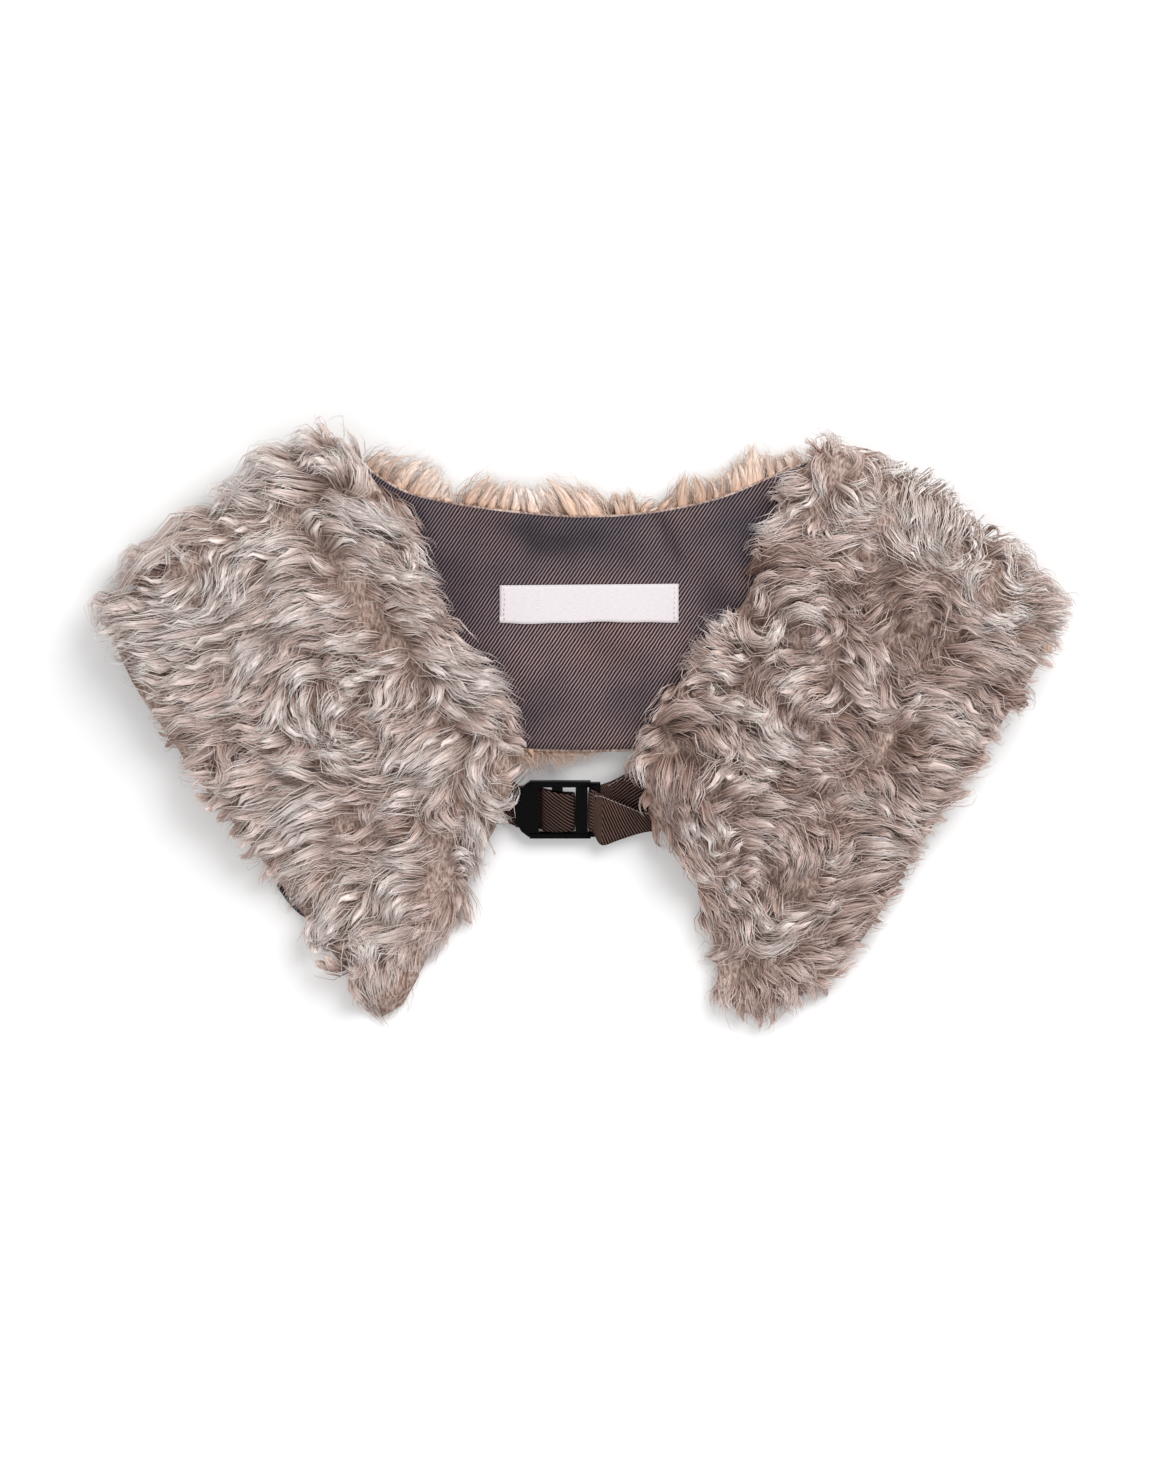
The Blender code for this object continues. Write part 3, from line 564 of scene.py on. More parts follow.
pileSettings = {
    "spacing": 6.5,  # between the roots of two locks
    "points": 6,
    "girth": 2.9,  # half a lock's width where it is widest
    "over": (6.5, 5.0, 9.5),  # how far hair may reach past the neck edge, the outer edge and a front's point
    "dome": 13.0,  # how far in from an edge the pile rises to its full height
    "crimp": 0.55,  # of a lock's own wave, in radians
    "crimpLength": 21.0,
    "stray": 0.12,  # how far locks part from the comb, in radians
    "back": 0.42,  # how much of a lock lies before its place
    "relief": 0.26,  # how much the pile's height varies from clump to clump
}


def domed(depth, reach):
    x = np.clip(depth / reach, 0.0, 1.0)
    return np.sqrt(1 - (1 - x) ** 2)


def pileHeight(form, places):
    depths = form.edges(places)
    more = lobed(form, places, depths.pile)
    shape = 1.0
    for depth, over in zip(depths, pileSettings["over"]):
        shape = shape * domed(depth + over + more, pileSettings["dome"])
    clumps = 1 + pileSettings["relief"] * drift(places, 27.0, 53)
    height = depths.pile * (0.12 + 0.88 * shape * clumps)
    return height + np.maximum(0.7 * more, -0.5 * depths.pile * shape)


def layLocks(form, path, heights):
    # Each lock's middle line in the frame, from its places and heights, with the ways across it and away
    line, away = [], []
    for k in range(path.shape[1]):
        line.append(form.put(path[:, k], np.maximum(heights[:, k], 0.5)))
        away.append(unit(form.put(path[:, k], heights[:, k] + 1.5) - line[-1]))
    line, away = np.stack(line, 1), np.stack(away, 1)
    forward = unit(np.gradient(line, axis=1))
    side = unit(np.cross(away, forward))
    return {"line": line, "side": side, "rise": np.cross(forward, side)}


def growLocks(form, comb, roots, lengths, layers, seed, crimp):
    # Follows the comb from each root
    dice = np.random.default_rng(seed)
    count, points = len(roots), pileSettings["points"]
    phase = drift(roots, 38.0, 11) * math.pi + dice.uniform(-0.6, 0.6, count)
    strength = pileSettings["crimp"] * crimp * dice.uniform(0.5, 1.3, count)
    bias = dice.normal(0, pileSettings["stray"], count) + 0.22 * drift(roots, 17.0, 29)
    for _ in range(3):
        # a root lies back along the comb, so that the lock's middle covers its place
        moved = roots - comb.read(roots)[0] * (lengths * pileSettings["back"] / 3)[:, None]
        depths = zip(form.edges(moved)[:3], form.edges(roots)[:3])
        fits = np.all([new > np.minimum(old, 0) for new, old in depths], axis=0)
        roots = np.where(fits[:, None], moved, roots)
    uneven = 1 + 0.6 * drift(roots, 22.0, 17)
    more = lobed(form, roots, form.edges(roots).pile)
    limits = [np.maximum(over * uneven + more, 0.8) for over in pileSettings["over"]]
    tipWay = getattr(form, "tipWay", np.zeros(2))
    across = unit(form.rows[:, 2:4] - form.rows[:, 0:2])
    step = lengths / (points - 1)
    here = roots
    places, tones, lifts = [], [], []
    for k in range(points):
        way, tone, lift = comb.read(here)
        places.append(here)
        tones.append(tone)
        lifts.append(lift)
        swing = bias + strength * np.sin(fullTurn * k * step / pileSettings["crimpLength"] + phase)
        c, s = np.cos(swing), np.sin(swing)
        heading = np.column_stack([way[:, 0] * c - way[:, 1] * s, way[:, 0] * s + way[:, 1] * c])
        depths = form.edges(here)
        outwards = -across[depths.neckRow], across[depths.outerRow], np.broadcast_to(tipWay, here.shape)
        for depth, outward, limit in zip(depths, outwards, limits):
            # past an edge hair turns along it, so that it never reaches further than the limit
            leaving = np.maximum((heading * outward).sum(1), 0.0)
            held = ease((-depth / limit - 0.35) / 0.65)
            heading = (heading - outward * (leaving * held)[:, None]) * (1 - 0.55 * held)[:, None]
        here = here + heading * step[:, None]
    path = np.stack(places, 1)
    for _ in range(3):
        # sharp corners, as where hair turns along an edge, are rounded
        ways = unit(np.diff(path, axis=1))
        bend = 1 - (ways[:, :-1] * ways[:, 1:]).sum(2)
        straight = (path[:, :-2] + path[:, 2:]) / 2
        path[:, 1:-1] += 0.7 * ease((bend - 0.2) / 0.5)[..., None] * (straight - path[:, 1:-1])
    along = np.linspace(0.0, 1.0, points)
    rise = np.minimum(1.0, 0.14 + 2.4 * along - 1.35 * along**2) - 0.16 * ease((along - 0.7) / 0.3)
    tops = np.stack([pileHeight(form, path[:, k]) for k in range(points)], 1)
    locks = layLocks(form, path, tops * (layers[:, None] + 0.36 * np.stack(lifts, 1)) * rise)
    return {**locks, "tone": np.stack(tones, 1)[:, : points - 2].mean(1)}


def pathLocks(form, rows, each, layer, seed, spread, low, stretch):
    # Locks that follow the sweeps themselves, side by side, with more of them in the palest ones
    dice = np.random.default_rng(seed)
    rows = np.array(rows, float)
    rows = np.repeat(rows, each + 2 * (rows[:, 7] > 0.55), axis=0)
    count, points = len(rows), pileSettings["points"]
    root, control, tip, reach, tone, lift = strokes(rows)
    along = np.linspace(0.0, 1.0, points)
    start = dice.uniform(-0.08, 0.14, count)
    stop = dice.uniform(0.86, 1.06, count) * stretch
    path = strokeAt(root, control, tip, (start[:, None] + (stop - start)[:, None] * along)[..., None])
    way = unit(np.gradient(path, axis=1))
    across = np.stack([-way[:, :, 1], way[:, :, 0]], 2)
    aside = dice.uniform(-spread, spread, count) * np.minimum(reach, 9)
    gather = 1 - 0.45 * along**2  # neighbours draw together at their tips
    waves = dice.uniform(4, 8, count)[:, None] * along + dice.uniform(0, 6.3, count)[:, None]
    path = path + across * (aside[:, None] * gather + 0.5 * np.sin(waves))[..., None]
    layers = dice.uniform(*layer, count) + 0.25 * lift
    rise = np.minimum(1.0, 0.15 + 2.4 * along - 1.35 * along**2) - 0.2 * ease((along - 0.65) / 0.35)
    tops = np.stack([pileHeight(form, path[:, k]) for k in range(points)], 1)
    heights = tops * layers[:, None] * (low + (1 - low) * rise)
    locks = layLocks(form, path, np.maximum(heights, 0.5))
    return {**locks, "tone": tone, "length": np.linalg.norm(tip - root, axis=1)}


def scatter(form, spacing, seed):
    # Roots on a shaken grid over the cloth
    dice = np.random.default_rng(seed)
    xs = np.arange(form.rows[:, [0, 2]].min(), form.rows[:, [0, 2]].max(), spacing)
    ys = np.arange(form.rows[:, [1, 3]].min(), form.rows[:, [1, 3]].max(), spacing * 0.87)
    grid = np.array([(x + (j % 2) * spacing / 2, y) for j, y in enumerate(ys) for x in xs])
    grid += dice.uniform(-0.42, 0.42, grid.shape) * spacing
    depths = form.edges(grid)
    more = 0.7 * lobed(form, grid, depths.pile)
    inside = (depths.neck > -4.0 - more) & (depths.outer > -2.5 - more) & (depths.end > -4.0 - more)
    if isinstance(form, Wing):
        inside &= ((grid - form.neckEnd) @ form.out < -1) | (depths.neck > 3)
    return grid[inside]


def addAttribute(mesh, name, values):
    # One number or one vector for each vertex
    values = np.asarray(values, np.float32)
    kind, field = ("FLOAT", "value") if values.ndim == 1 else ("FLOAT_VECTOR", "vector")
    mesh.attributes.new(name, kind, "POINT").data.foreach_set(field, values.ravel())


def lockGuides(name, locks, girths, tints, counts):
    # The locks' middle lines as one mesh of loose edges, with what the strands read
    line = locks["line"]
    count, points = line.shape[:2]
    mesh = bpy.data.meshes.new(name)
    mesh.vertices.add(count * points)
    mesh.vertices.foreach_set("co", (line * mm).astype(np.float32).ravel())
    first = (np.arange(count)[:, None] * points + np.arange(points - 1)[None]).ravel()
    mesh.edges.add(len(first))
    mesh.edges.foreach_set("vertices", np.column_stack([first, first + 1]).astype(np.int32).ravel())
    along = np.linspace(0.0, 1.0, points)
    body = np.minimum(1.0, 0.35 + 1.8 * along) * (1 - 0.7 * along**2.4)
    addAttribute(mesh, "along", np.tile(along, count))
    addAttribute(mesh, "girth", (girths[:, None] * body[None]).ravel() * mm)
    addAttribute(mesh, "tint", np.repeat(tints, points))
    addAttribute(mesh, "strands", np.repeat(counts, points))
    addAttribute(mesh, "side", locks["side"].reshape(-1, 3))
    addAttribute(mesh, "rise", locks["rise"].reshape(-1, 3))
    return addObject(name, mesh)


strandSettings = {  # the tree's inputs, in metres
    "Strand width": 0.00025,  # coarser than real mohair, which is too fine to show
    "Flatness": 0.4,
    "Twist": 0.7,
    "Wave": 0.0008,
    "Waves along": 1.2,
    "Stray share": 0.25,
    "Stray spread": 1.25,
    "Sides": 3,
    "Seed": 3,
}


def strandTree(settings):
    # Lock guides in, strands out: each lock is copied, its copies spread round it and gather at the tip
    tree = bpy.data.node_groups.new("strandsFromLocks", "GeometryNodeTree")
    kinds = {name: type(value).__name__.title() for name, value in settings.items()}
    sockets = {}
    for name, kind in {"Guides": "Geometry", **kinds, "Hair": "Material"}.items():
        made = tree.interface.new_socket(name, in_out="INPUT", socket_type="NodeSocket" + kind)
        if name in settings:
            made.default_value = settings[name]
        sockets[name] = made.identifier
    tree.interface.new_socket("Strands", in_out="OUTPUT", socket_type="NodeSocketGeometry")
    given = addNode(tree, "NodeGroupInput").outputs
    values = {name: given[name] for name in settings}
    for name in ("along", "girth", "tint", "strands", "hue", "around", "side", "rise"):
        kind = {"data_type": "FLOAT_VECTOR" if name in ("side", "rise") else "FLOAT"}
        read = addNode(tree, "GeometryNodeInputNamedAttribute", kind, {"Name": name})
        values[name] = read.outputs["Attribute"]
    onCurves, onPoints = ({"data_type": "FLOAT", "domain": domain} for domain in ("CURVE", "POINT"))
    onCorners = {"data_type": "FLOAT2", "domain": "CORNER"}
    index = addNode(tree, "GeometryNodeInputIndex").outputs[0]
    for name, low, high, extra in (  # what is the same all along one strand
        ("turn", 0.0, fullTurn, 11),
        ("spread", 0.0, 1.0, 23),
        ("phase", 0.0, fullTurn, 31),
        ("liveliness", 0.3, 1.4, 37),
        ("length", 0.76, 1.0, 43),
        ("thickness", 0.65, 1.3, 53),
        ("shade", -0.09, 0.12, 61),
        ("luck", 0.0, 1.0, 71),
    ):
        seed = addNode(tree, "ShaderNodeMath", {"operation": "ADD"}, {0: given["Seed"], 1: extra}).outputs[0]
        inputs = {2: low, 3: high, "ID": index, "Seed": seed}
        dice = addNode(tree, "FunctionNodeRandomValue", {"data_type": "FLOAT"}, inputs).outputs[1]
        values[name] = addNode(tree, "GeometryNodeFieldOnDomain", onCurves, {0: dice}).outputs[0]
    position = addNode(tree, "GeometryNodeInputPosition").outputs[0]
    at = addNode(tree, "ShaderNodeSeparateXYZ", {}, {0: position}).outputs
    values["level"] = at[2]
    values["factor"] = addNode(tree, "GeometryNodeSplineParameter").outputs["Factor"]
    for name, operation, *inputs in (
        ("twisted", "MULTIPLY", "along", "Twist"),  # where a strand lies round its lock
        ("angle", "ADD", "turn", "twisted"),
        ("stray", "LESS_THAN", "luck", "Stray share"),
        ("loose", "MULTIPLY_ADD", "stray", "Stray spread", 1.0),
        ("out", "POWER", "spread", 0.5),
        ("out", "MULTIPLY", "out", "girth"),
        ("out", "MULTIPLY", "out", "loose"),
        ("swing", "MULTIPLY", "along", "Waves along"),  # its own wave
        ("swing", "MULTIPLY_ADD", "swing", fullTurn, "phase"),
        ("sway", "SINE", "swing"),
        ("sway", "MULTIPLY", "sway", "along"),
        ("sway", "MULTIPLY", "sway", "Wave"),
        ("sway", "MULTIPLY", "sway", "loose"),
        ("sway", "MULTIPLY", "sway", "liveliness"),
        ("sideways", "COSINE", "angle"),
        ("sideways", "MULTIPLY_ADD", "sideways", "out", "sway"),
        ("upwards", "SINE", "angle"),
        ("upwards", "MULTIPLY", "upwards", "out"),
        ("upwards", "MULTIPLY", "upwards", "Flatness"),
        ("level", "MAXIMUM", "level", 0.0006),  # no strand goes through the surface
        ("thin", "POWER", "factor", 2.4),  # the taper to both ends
        ("thin", "SUBTRACT", 1.0, "thin"),
        ("thin", "POWER", "thin", 0.8),
        ("thin", "MAXIMUM", "thin", 0.16),
        ("root", "MULTIPLY_ADD", "factor", 4.0, 0.3),
        ("root", "MINIMUM", "root", 1.0),
        ("width", "MULTIPLY", "thin", "root"),
        ("width", "MULTIPLY", "width", "Strand width"),
        ("width", "MULTIPLY", "width", "thickness"),
        ("lit", "MULTIPLY_ADD", "stray", 0.1, "tint"),  # painted highlight: strays, which stand out of the lock, are paler
        ("lit", "ADD", "lit", "shade"),
        ("u", "MULTIPLY_ADD", "around", 0.012, "hue"),
    ):
        inputs = {i: values.get(key, key) for i, key in enumerate(inputs)}
        values[name] = addNode(tree, "ShaderNodeMath", {"operation": operation}, inputs).outputs[0]
    moved = {}
    for i, (way, by) in enumerate((("side", "sideways"), ("rise", "upwards"))):
        inputs = {0: values[way], "Scale": values[by]}
        moved[i] = addNode(tree, "ShaderNodeVectorMath", {"operation": "SCALE"}, inputs).outputs[0]
    offset = addNode(tree, "ShaderNodeVectorMath", {"operation": "ADD"}, moved).outputs[0]
    above = addNode(tree, "ShaderNodeCombineXYZ", {}, {0: at[0], 1: at[1], 2: values["level"]}).outputs[0]
    place = addNode(tree, "ShaderNodeCombineXYZ", {}, {0: values["u"], 1: values["along"]}).outputs[0]
    radius = addNode(tree, "GeometryNodeInputRadius").outputs[0]
    inputs = {"Resolution": given["Sides"], "Radius": 1.0}
    ring = addNode(tree, "GeometryNodeCurvePrimitiveCircle", {"mode": "RADIUS"}, inputs).outputs["Curve"]
    inputs = {"Geometry": ring, "Name": "around", "Value": values["factor"]}
    ring = addNode(tree, "GeometryNodeStoreNamedAttribute", onPoints, inputs).outputs[0]
    shape = given["Guides"]
    for kind, options, inputs in (
        ("GeometryNodeMeshToCurve", {}, {}),
        ("GeometryNodeDuplicateElements", {"domain": "SPLINE"}, {"Amount": values["strands"]}),
        ("GeometryNodeSetPosition", {}, {"Offset": offset}),
        ("GeometryNodeSetPosition", {}, {"Position": above}),
        ("GeometryNodeTrimCurve", {"mode": "FACTOR"}, {3: values["length"]}),
        ("GeometryNodeSetCurveRadius", {}, {"Radius": values["width"]}),
        ("GeometryNodeStoreNamedAttribute", onPoints, {"Name": "hue", "Value": values["lit"]}),
        ("GeometryNodeCurveToMesh", {}, {"Profile Curve": ring, "Scale": radius, "Fill Caps": True}),
        ("GeometryNodeStoreNamedAttribute", onCorners, {"Name": "OFBake", "Value": place}),
        ("GeometryNodeSetShadeSmooth", {}, {}),
        ("GeometryNodeRealizeInstances", {}, {}),
        ("GeometryNodeSetMaterial", {}, {"Material": given["Hair"]}),
    ):
        shape = addNode(tree, kind, options, {0: shape, **inputs}).outputs[0]
    addNode(tree, "NodeGroupOutput", {}, {"Strands": shape})
    return tree, sockets


strands, strandSockets = strandTree(strandSettings)


def plainMesh(obj, name):
    # The object as its modifiers leave it, as a mesh with none
    graph = bpy.context.evaluated_depsgraph_get()
    mesh = bpy.data.meshes.new_from_object(obj.evaluated_get(graph), depsgraph=graph)
    mesh.name = name
    bpy.data.objects.remove(obj, do_unlink=True)
    return addObject(name, mesh)


def pileOf(name, locks, girths, tints, counts, material, values):
    guide = lockGuides(name + "Guides", locks, girths, tints, counts)
    growth = guide.modifiers.new("strands", "NODES")
    growth.node_group = strands
    for key, value in {**strandSettings, **values, "Hair": material}.items():
        growth[strandSockets[key]] = value
    made = plainMesh(guide, name)
    held = made.data.attributes
    for key in ("along", "girth", "tint", "strands", "side", "rise", "hue", "around"):
        if key in held:
            held.remove(held[key])
    return made


def meshFromArrays(name, points, faces, material, corners=None, mapName=None):
    # Faces are rows of vertex numbers; points are millimetres
    mesh = bpy.data.meshes.new(name)
    mesh.vertices.add(len(points))
    mesh.vertices.foreach_set("co", (points * mm).astype(np.float32).ravel())
    sizes = np.concatenate([np.full(len(f), f.shape[1]) for f in faces])
    mesh.loops.add(int(sizes.sum()))
    mesh.loops.foreach_set("vertex_index", np.concatenate([f.ravel() for f in faces]).astype(np.int32))
    mesh.polygons.add(len(sizes))
    mesh.polygons.foreach_set("loop_start", np.concatenate([[0], np.cumsum(sizes)[:-1]]).astype(np.int32))
    mesh.update(calc_edges=True)
    mesh.shade_smooth()
    if mapName:
        layer = mesh.uv_layers.new(name=mapName)
        flat = np.concatenate([c.reshape(-1, 2) for c in corners])
        layer.uv.foreach_set("vector", flat.astype(np.float32).ravel())
    mesh.materials.append(material)
    return addObject(name, mesh)


def faceOutwards(mesh):
    shape = bmesh.new()
    shape.from_mesh(mesh)
    bmesh.ops.recalc_face_normals(shape, faces=shape.faces)
    shape.to_mesh(mesh)
    shape.free()


def tubeFaces(count, points, sides):
    # Walls, root caps and tip caps of closed tubes whose vertices follow one another
    number = np.arange(count * points * sides).reshape(count, points, sides)
    after = np.roll(number, -1, axis=2)
    walls = np.stack([number[:, :-1], after[:, :-1], after[:, 1:], number[:, 1:]], -1)
    return [walls.reshape(-1, 4), number[:, 0, ::-1], number[:, -1]]


def lockBodies(name, locks, girths, tints, material, settings):
    # The body of each lock: a flattened, tapering bundle with a pointed tip
    count, points = locks["line"].shape[:2]
    sides = settings["bodySides"]
    along = np.linspace(0.0, 1.0, points)
    reach = along * settings["bodyReach"] * (points - 1)  # the body ends before the strands do
    before = np.minimum(reach.astype(int), points - 2)
    part = (reach - before)[None, :, None]
    keys = ("line", "side", "rise")
    line, side, rise = (locks[k][:, before] * (1 - part) + locks[k][:, before + 1] * part for k in keys)
    body = np.minimum(1.0, 0.2 + 2.2 * along) * (1 - along**2.0) ** 0.9 + 0.04
    turns = fullTurn * (np.arange(sides) + 0.5) / sides
    wide = (girths[:, None] * body)[:, :, None, None]
    line = (line - rise * wide[..., 0] * settings["bodySink"])[:, :, None]
    rings = line + side[:, :, None] * wide * np.cos(turns)[:, None]
    rings = rings + rise[:, :, None] * wide * settings["bodyFlat"] * np.sin(turns)[:, None]
    rings[..., 2] = np.maximum(rings[..., 2], 0.2)
    # the map has tones across and the way to the tip up, with both caps at its ends
    # painted light and shade: the tone rises round the ring, so one side of each body is paler than the other
    u = tints[:, None] + settings["bodyTint"] * (np.arange(sides) / sides - 0.5)
    step = settings["bodyTint"] / sides
    walls = np.empty((count, points - 1, sides, 4, 2))
    start, end = along[:-1], along[1:]
    for corner, (aside, v) in enumerate(((0, start), (step, start), (step, end), (0, end))):
        walls[..., corner, 0] = u[:, None] + aside
        walls[..., corner, 1] = v[None, :, None]
    roots = np.stack([u[:, ::-1], np.broadcast_to(0.006 + 0.004 * np.cos(turns), u.shape)], -1)
    tips = np.stack([u, np.broadcast_to(0.99 + 0.004 * np.cos(turns), u.shape)], -1)
    faces = tubeFaces(count, points, sides)
    return meshFromArrays(name, rings.reshape(-1, 3), faces, material, [walls, roots, tips], "OFBake")


print("materials")


def grain(tree, place, sizes, detail=2.0, rough=0.5, stops=None):
    # Uneven tone: sizes are the grains' along each axis of place, in its own unit, and stops give it colours
    spread = {"Vector": place, "Scale": [1 / size for size in sizes]}
    spread = addNode(tree, "ShaderNodeMapping", {}, spread).outputs[0]
    sockets = {"Vector": spread, "Scale": 1.0, "Detail": detail, "Roughness": rough}
    level = addNode(tree, "ShaderNodeTexNoise", {}, sockets).outputs["Fac"]
    if stops is None:
        return level
    return level, addNode(tree, "ShaderNodeValToRGB", {"stops": stops}, {"Fac": level}).outputs["Color"]


def shaded(tree, value, low, high, stops):
    # A colour that changes with a value from its low to its high
    sockets = {"Value": value, "From Min": low, "From Max": high}
    share = addNode(tree, "ShaderNodeMapRange", {}, sockets).outputs["Result"]
    return addNode(tree, "ShaderNodeValToRGB", {"stops": stops}, {"Fac": share}).outputs["Color"]


def finishCloth(tree, shader, washes, bump=None):
    # Colours laid over one another, and how strong and how deep, in millimetres, the bumps of a level are
    colour = washes[0]
    for wash in washes[1:]:
        settings = {"data_type": "RGBA", "blend_type": "MULTIPLY"}
        colour = addNode(tree, "ShaderNodeMix", settings, {0: 1.0, 6: colour, 7: wash}).outputs[2]
    tree.links.new(colour, shader.inputs["Base Color"])
    if bump:
        strength, depth, level = bump
        sockets = {"Strength": strength, "Distance": depth * mm, "Height": level}
        bumps = addNode(tree, "ShaderNodeBump", {}, sockets).outputs["Normal"]
        tree.links.new(bumps, shader.inputs["Normal"])


def mohair(name, tones, rootShade, bodyShade):
    # Curly mohair pile, soft and slightly silky: painted shade darkens each lock towards its roots, and each
    # strand has its own tone
    made, tree, shader = newMaterial(name, {
        "Roughness": 0.6,
        "Specular IOR Level": 0.4,
        "Sheen Weight": 0.3,
        "Sheen Roughness": 0.35,
        "Sheen Tint": linear("f6ebe6"),
    })
    place = addNode(tree, "ShaderNodeUVMap", {"uv_map": "OFBake"}).outputs["UV"]
    split = addNode(tree, "ShaderNodeSeparateXYZ", {}, {0: place}).outputs
    # painted shade along each lock: rootShade at the root and bodyShade along its body, fading to white at
    # the tip
    shades = [(0.0, rootShade), (0.3, bodyShade), (0.62, "f6f2f0"), (1.0, "ffffff")]
    washes = []
    for axis, stops in (("X", tones), ("Y", shades)):
        ramp = addNode(tree, "ShaderNodeValToRGB", {"stops": stops}, {"Fac": split[axis]})
        washes.append(ramp.outputs["Color"])
    # Streaks 0.5 mm wide and 12.5 mm long stand for a lock's single hairs, which are too fine to show.
    # Once round a lock is about 12.8 mm and 0.16 of the map, and its length is 27.5 mm and the whole of it.
    sizes = (0.5 / 12.8 * 0.16, 12.5 / 27.5, 1.0)
    stops = [(0.32, "9c8a82"), (0.44, "ddd1cc"), (0.55, "ffffff")]
    streaks, streak = grain(tree, place, sizes, 3.0, 0.7, stops)
    finishCloth(tree, shader, [*washes, streak], (0.5, 0.4, streaks))
    return made


frontTones = [
    (0.0, "8a7164"), (0.2, "b8a196"), (0.36, "dccac5"), (0.5, "f5e5df"),
    (0.66, "fbf1ef"), (0.82, "fffaf7"), (1.0, "ffffff"),
]
underTones = [(0.0, "c4a892"), (0.3, "e6cfbe"), (0.55, "f7e5d8"), (0.8, "fcf0e7"), (1.0, "fefaf6")]
frontMohair = mohair("mohair, front", frontTones, "a88c7f", "d4c5bd")
underMohair = mohair("mohair, underside", underTones, "d6bfab", "f2e0d2")


def undercoatMaterial():
    # The short dense hair under the locks, matt and mottled
    made, tree, shader = newMaterial("mohair undercoat", {"Roughness": 0.9, "Specular IOR Level": 0.15})
    place = addNode(tree, "ShaderNodeTexCoord").outputs["Object"]
    patches = grain(tree, place, [16.7 * mm] * 3, 3.0, stops=[(0.35, "b29e95"), (0.65, "dcc9c0")])[1]
    up = addNode(tree, "ShaderNodeSeparateXYZ", {}, {0: place}).outputs["Y"]
    paintedFoldLight = shaded(tree, up, 50 * mm, 110 * mm, [(0.0, "e6e2e0"), (1.0, "ffffff")])  # painted light: paler towards the folds, high on the collar
    size = 1.11 * mm  # a clump of short hairs, three times as long as it is wide
    hairs = grain(tree, place, (size, size / 0.35, size), 2.0, 0.6, [(0.35, "a3928a"), (0.65, "ffffff")])[1]
    finishCloth(tree, shader, [patches, paintedFoldLight, hairs])
    return made


def twill(name, values, ribColours, patches, shades=None, troughs=None):
    # Cotton twill, matt with dark gaps: fine slanting ribs in the cloth map, each rib a row of short floats
    made, tree, shader = newMaterial(name, {"Roughness": 0.72, **values})
    place = addNode(tree, "ShaderNodeUVMap", {"uv_map": "clothMap"}).outputs["UV"]
    where = addNode(tree, "ShaderNodeTexCoord").outputs["Object"]
    split = addNode(tree, "ShaderNodeSeparateXYZ", {}, {0: place}).outputs
    ribPitch = 1.3 * mm
    floatPitch = 1.1 * ribPitch
    levels = {
        "x": split["X"],
        "y": split["Y"],
        "waver": grain(tree, place, [3.85 * mm] * 3),
        "yarn": grain(tree, place, (1.11 * mm, 0.385 * mm, 1.0), 2.0, 0.6),
    }
    for step, operation, *inputs in (
        ("waver", "MULTIPLY", "waver", 0.55),
        ("across", "MULTIPLY_ADD", "y", 1 / ribPitch, "waver"),  # in ribs
        ("rib", "MULTIPLY", "across", fullTurn),
        ("rib", "SINE", "rib"),
        ("rib", "MULTIPLY_ADD", "rib", 0.5, 0.5),
        ("rib", "POWER", "rib", 2.4),
        ("row", "ADD", "across", 0.25),
        ("row", "FLOOR", "row"),
        ("row", "MULTIPLY", "row", 2.1),  # floats are offset from rib to rib
        ("floats", "MULTIPLY_ADD", "x", fullTurn / floatPitch, "row"),
        ("floats", "SINE", "floats"),
        ("floats", "MULTIPLY_ADD", "floats", 0.5, 0.5),
        ("level", "MULTIPLY_ADD", "yarn", 0.8, 0.46),
        ("level", "MULTIPLY_ADD", "floats", 0.08, "level"),
        ("level", "MULTIPLY", "level", "rib"),
    ):
        inputs = {i: levels.get(key, key) for i, key in enumerate(inputs)}
        levels[step] = addNode(tree, "ShaderNodeMath", {"operation": operation}, inputs).outputs[0]
    washes = [grain(tree, where, [38.5 * mm] * 3, stops=patches)[1]]
    ribs = [(0.12, ribColours[0]), (0.72, ribColours[1])]
    washes.append(shaded(tree, levels["level"], 0.0, 1.0, ribs))
    if shades:  # from the hem up
        up = addNode(tree, "ShaderNodeSeparateXYZ", {}, {0: where}).outputs["Y"]
        washes.append(shaded(tree, up, -10 * mm, 90 * mm, shades))
    # painted shade: darker in the troughs of the creases
    if troughs:
        crease = addNode(tree, "ShaderNodeAttribute", {"attribute_name": "crease"}).outputs["Fac"]
        washes.append(shaded(tree, crease, -1.0, 1.0, troughs))
    finishCloth(tree, shader, washes, (0.35, 0.2, levels["level"]))
    return made


liningTwill = twill(
    "cotton twill, violet brown",
    {"Specular IOR Level": 0.3, "Sheen Weight": 0.12},
    ("010000", "cabbbc"),
    patches=[(0.32, "9c96a4"), (0.5, "cec2c8"), (0.68, "ecd4ce")],
    shades=[(0.0, "f2e6e2"), (0.45, "f8f0f0"), (0.95, "ccc8ce")],
    # painted shade in the creases' troughs
    troughs=[(0.2, "a8a4aa"), (0.42, "e2dfe2"), (0.5, "f4f2f3"), (0.7, "ffffff")],
)
strapTwill = twill(
    "cotton twill tape, dark brown",
    {"Specular IOR Level": 0.1, "Sheen Weight": 0.0},
    ("010000", "94786d"),
    patches=[(0.3, "8c8280"), (0.7, "c8bebc")],
)


def satinMaterial():
    # Woven satin ribbon, smooth with a faint cross grain
    values = {"Roughness": 0.5, "Specular IOR Level": 0.4}
    made, tree, shader = newMaterial("woven satin label, white", values)
    place = addNode(tree, "ShaderNodeTexCoord").outputs["Object"]
    stops = [(0.35, "cdc6c8"), (0.65, "d8d1d3")]
    weave, colour = grain(tree, place, (2.0 * mm, 0.333 * mm, 1.0), 2.0, 0.6, stops)
    finishCloth(tree, shader, [colour], (0.2, 0.1, weave))
    return made


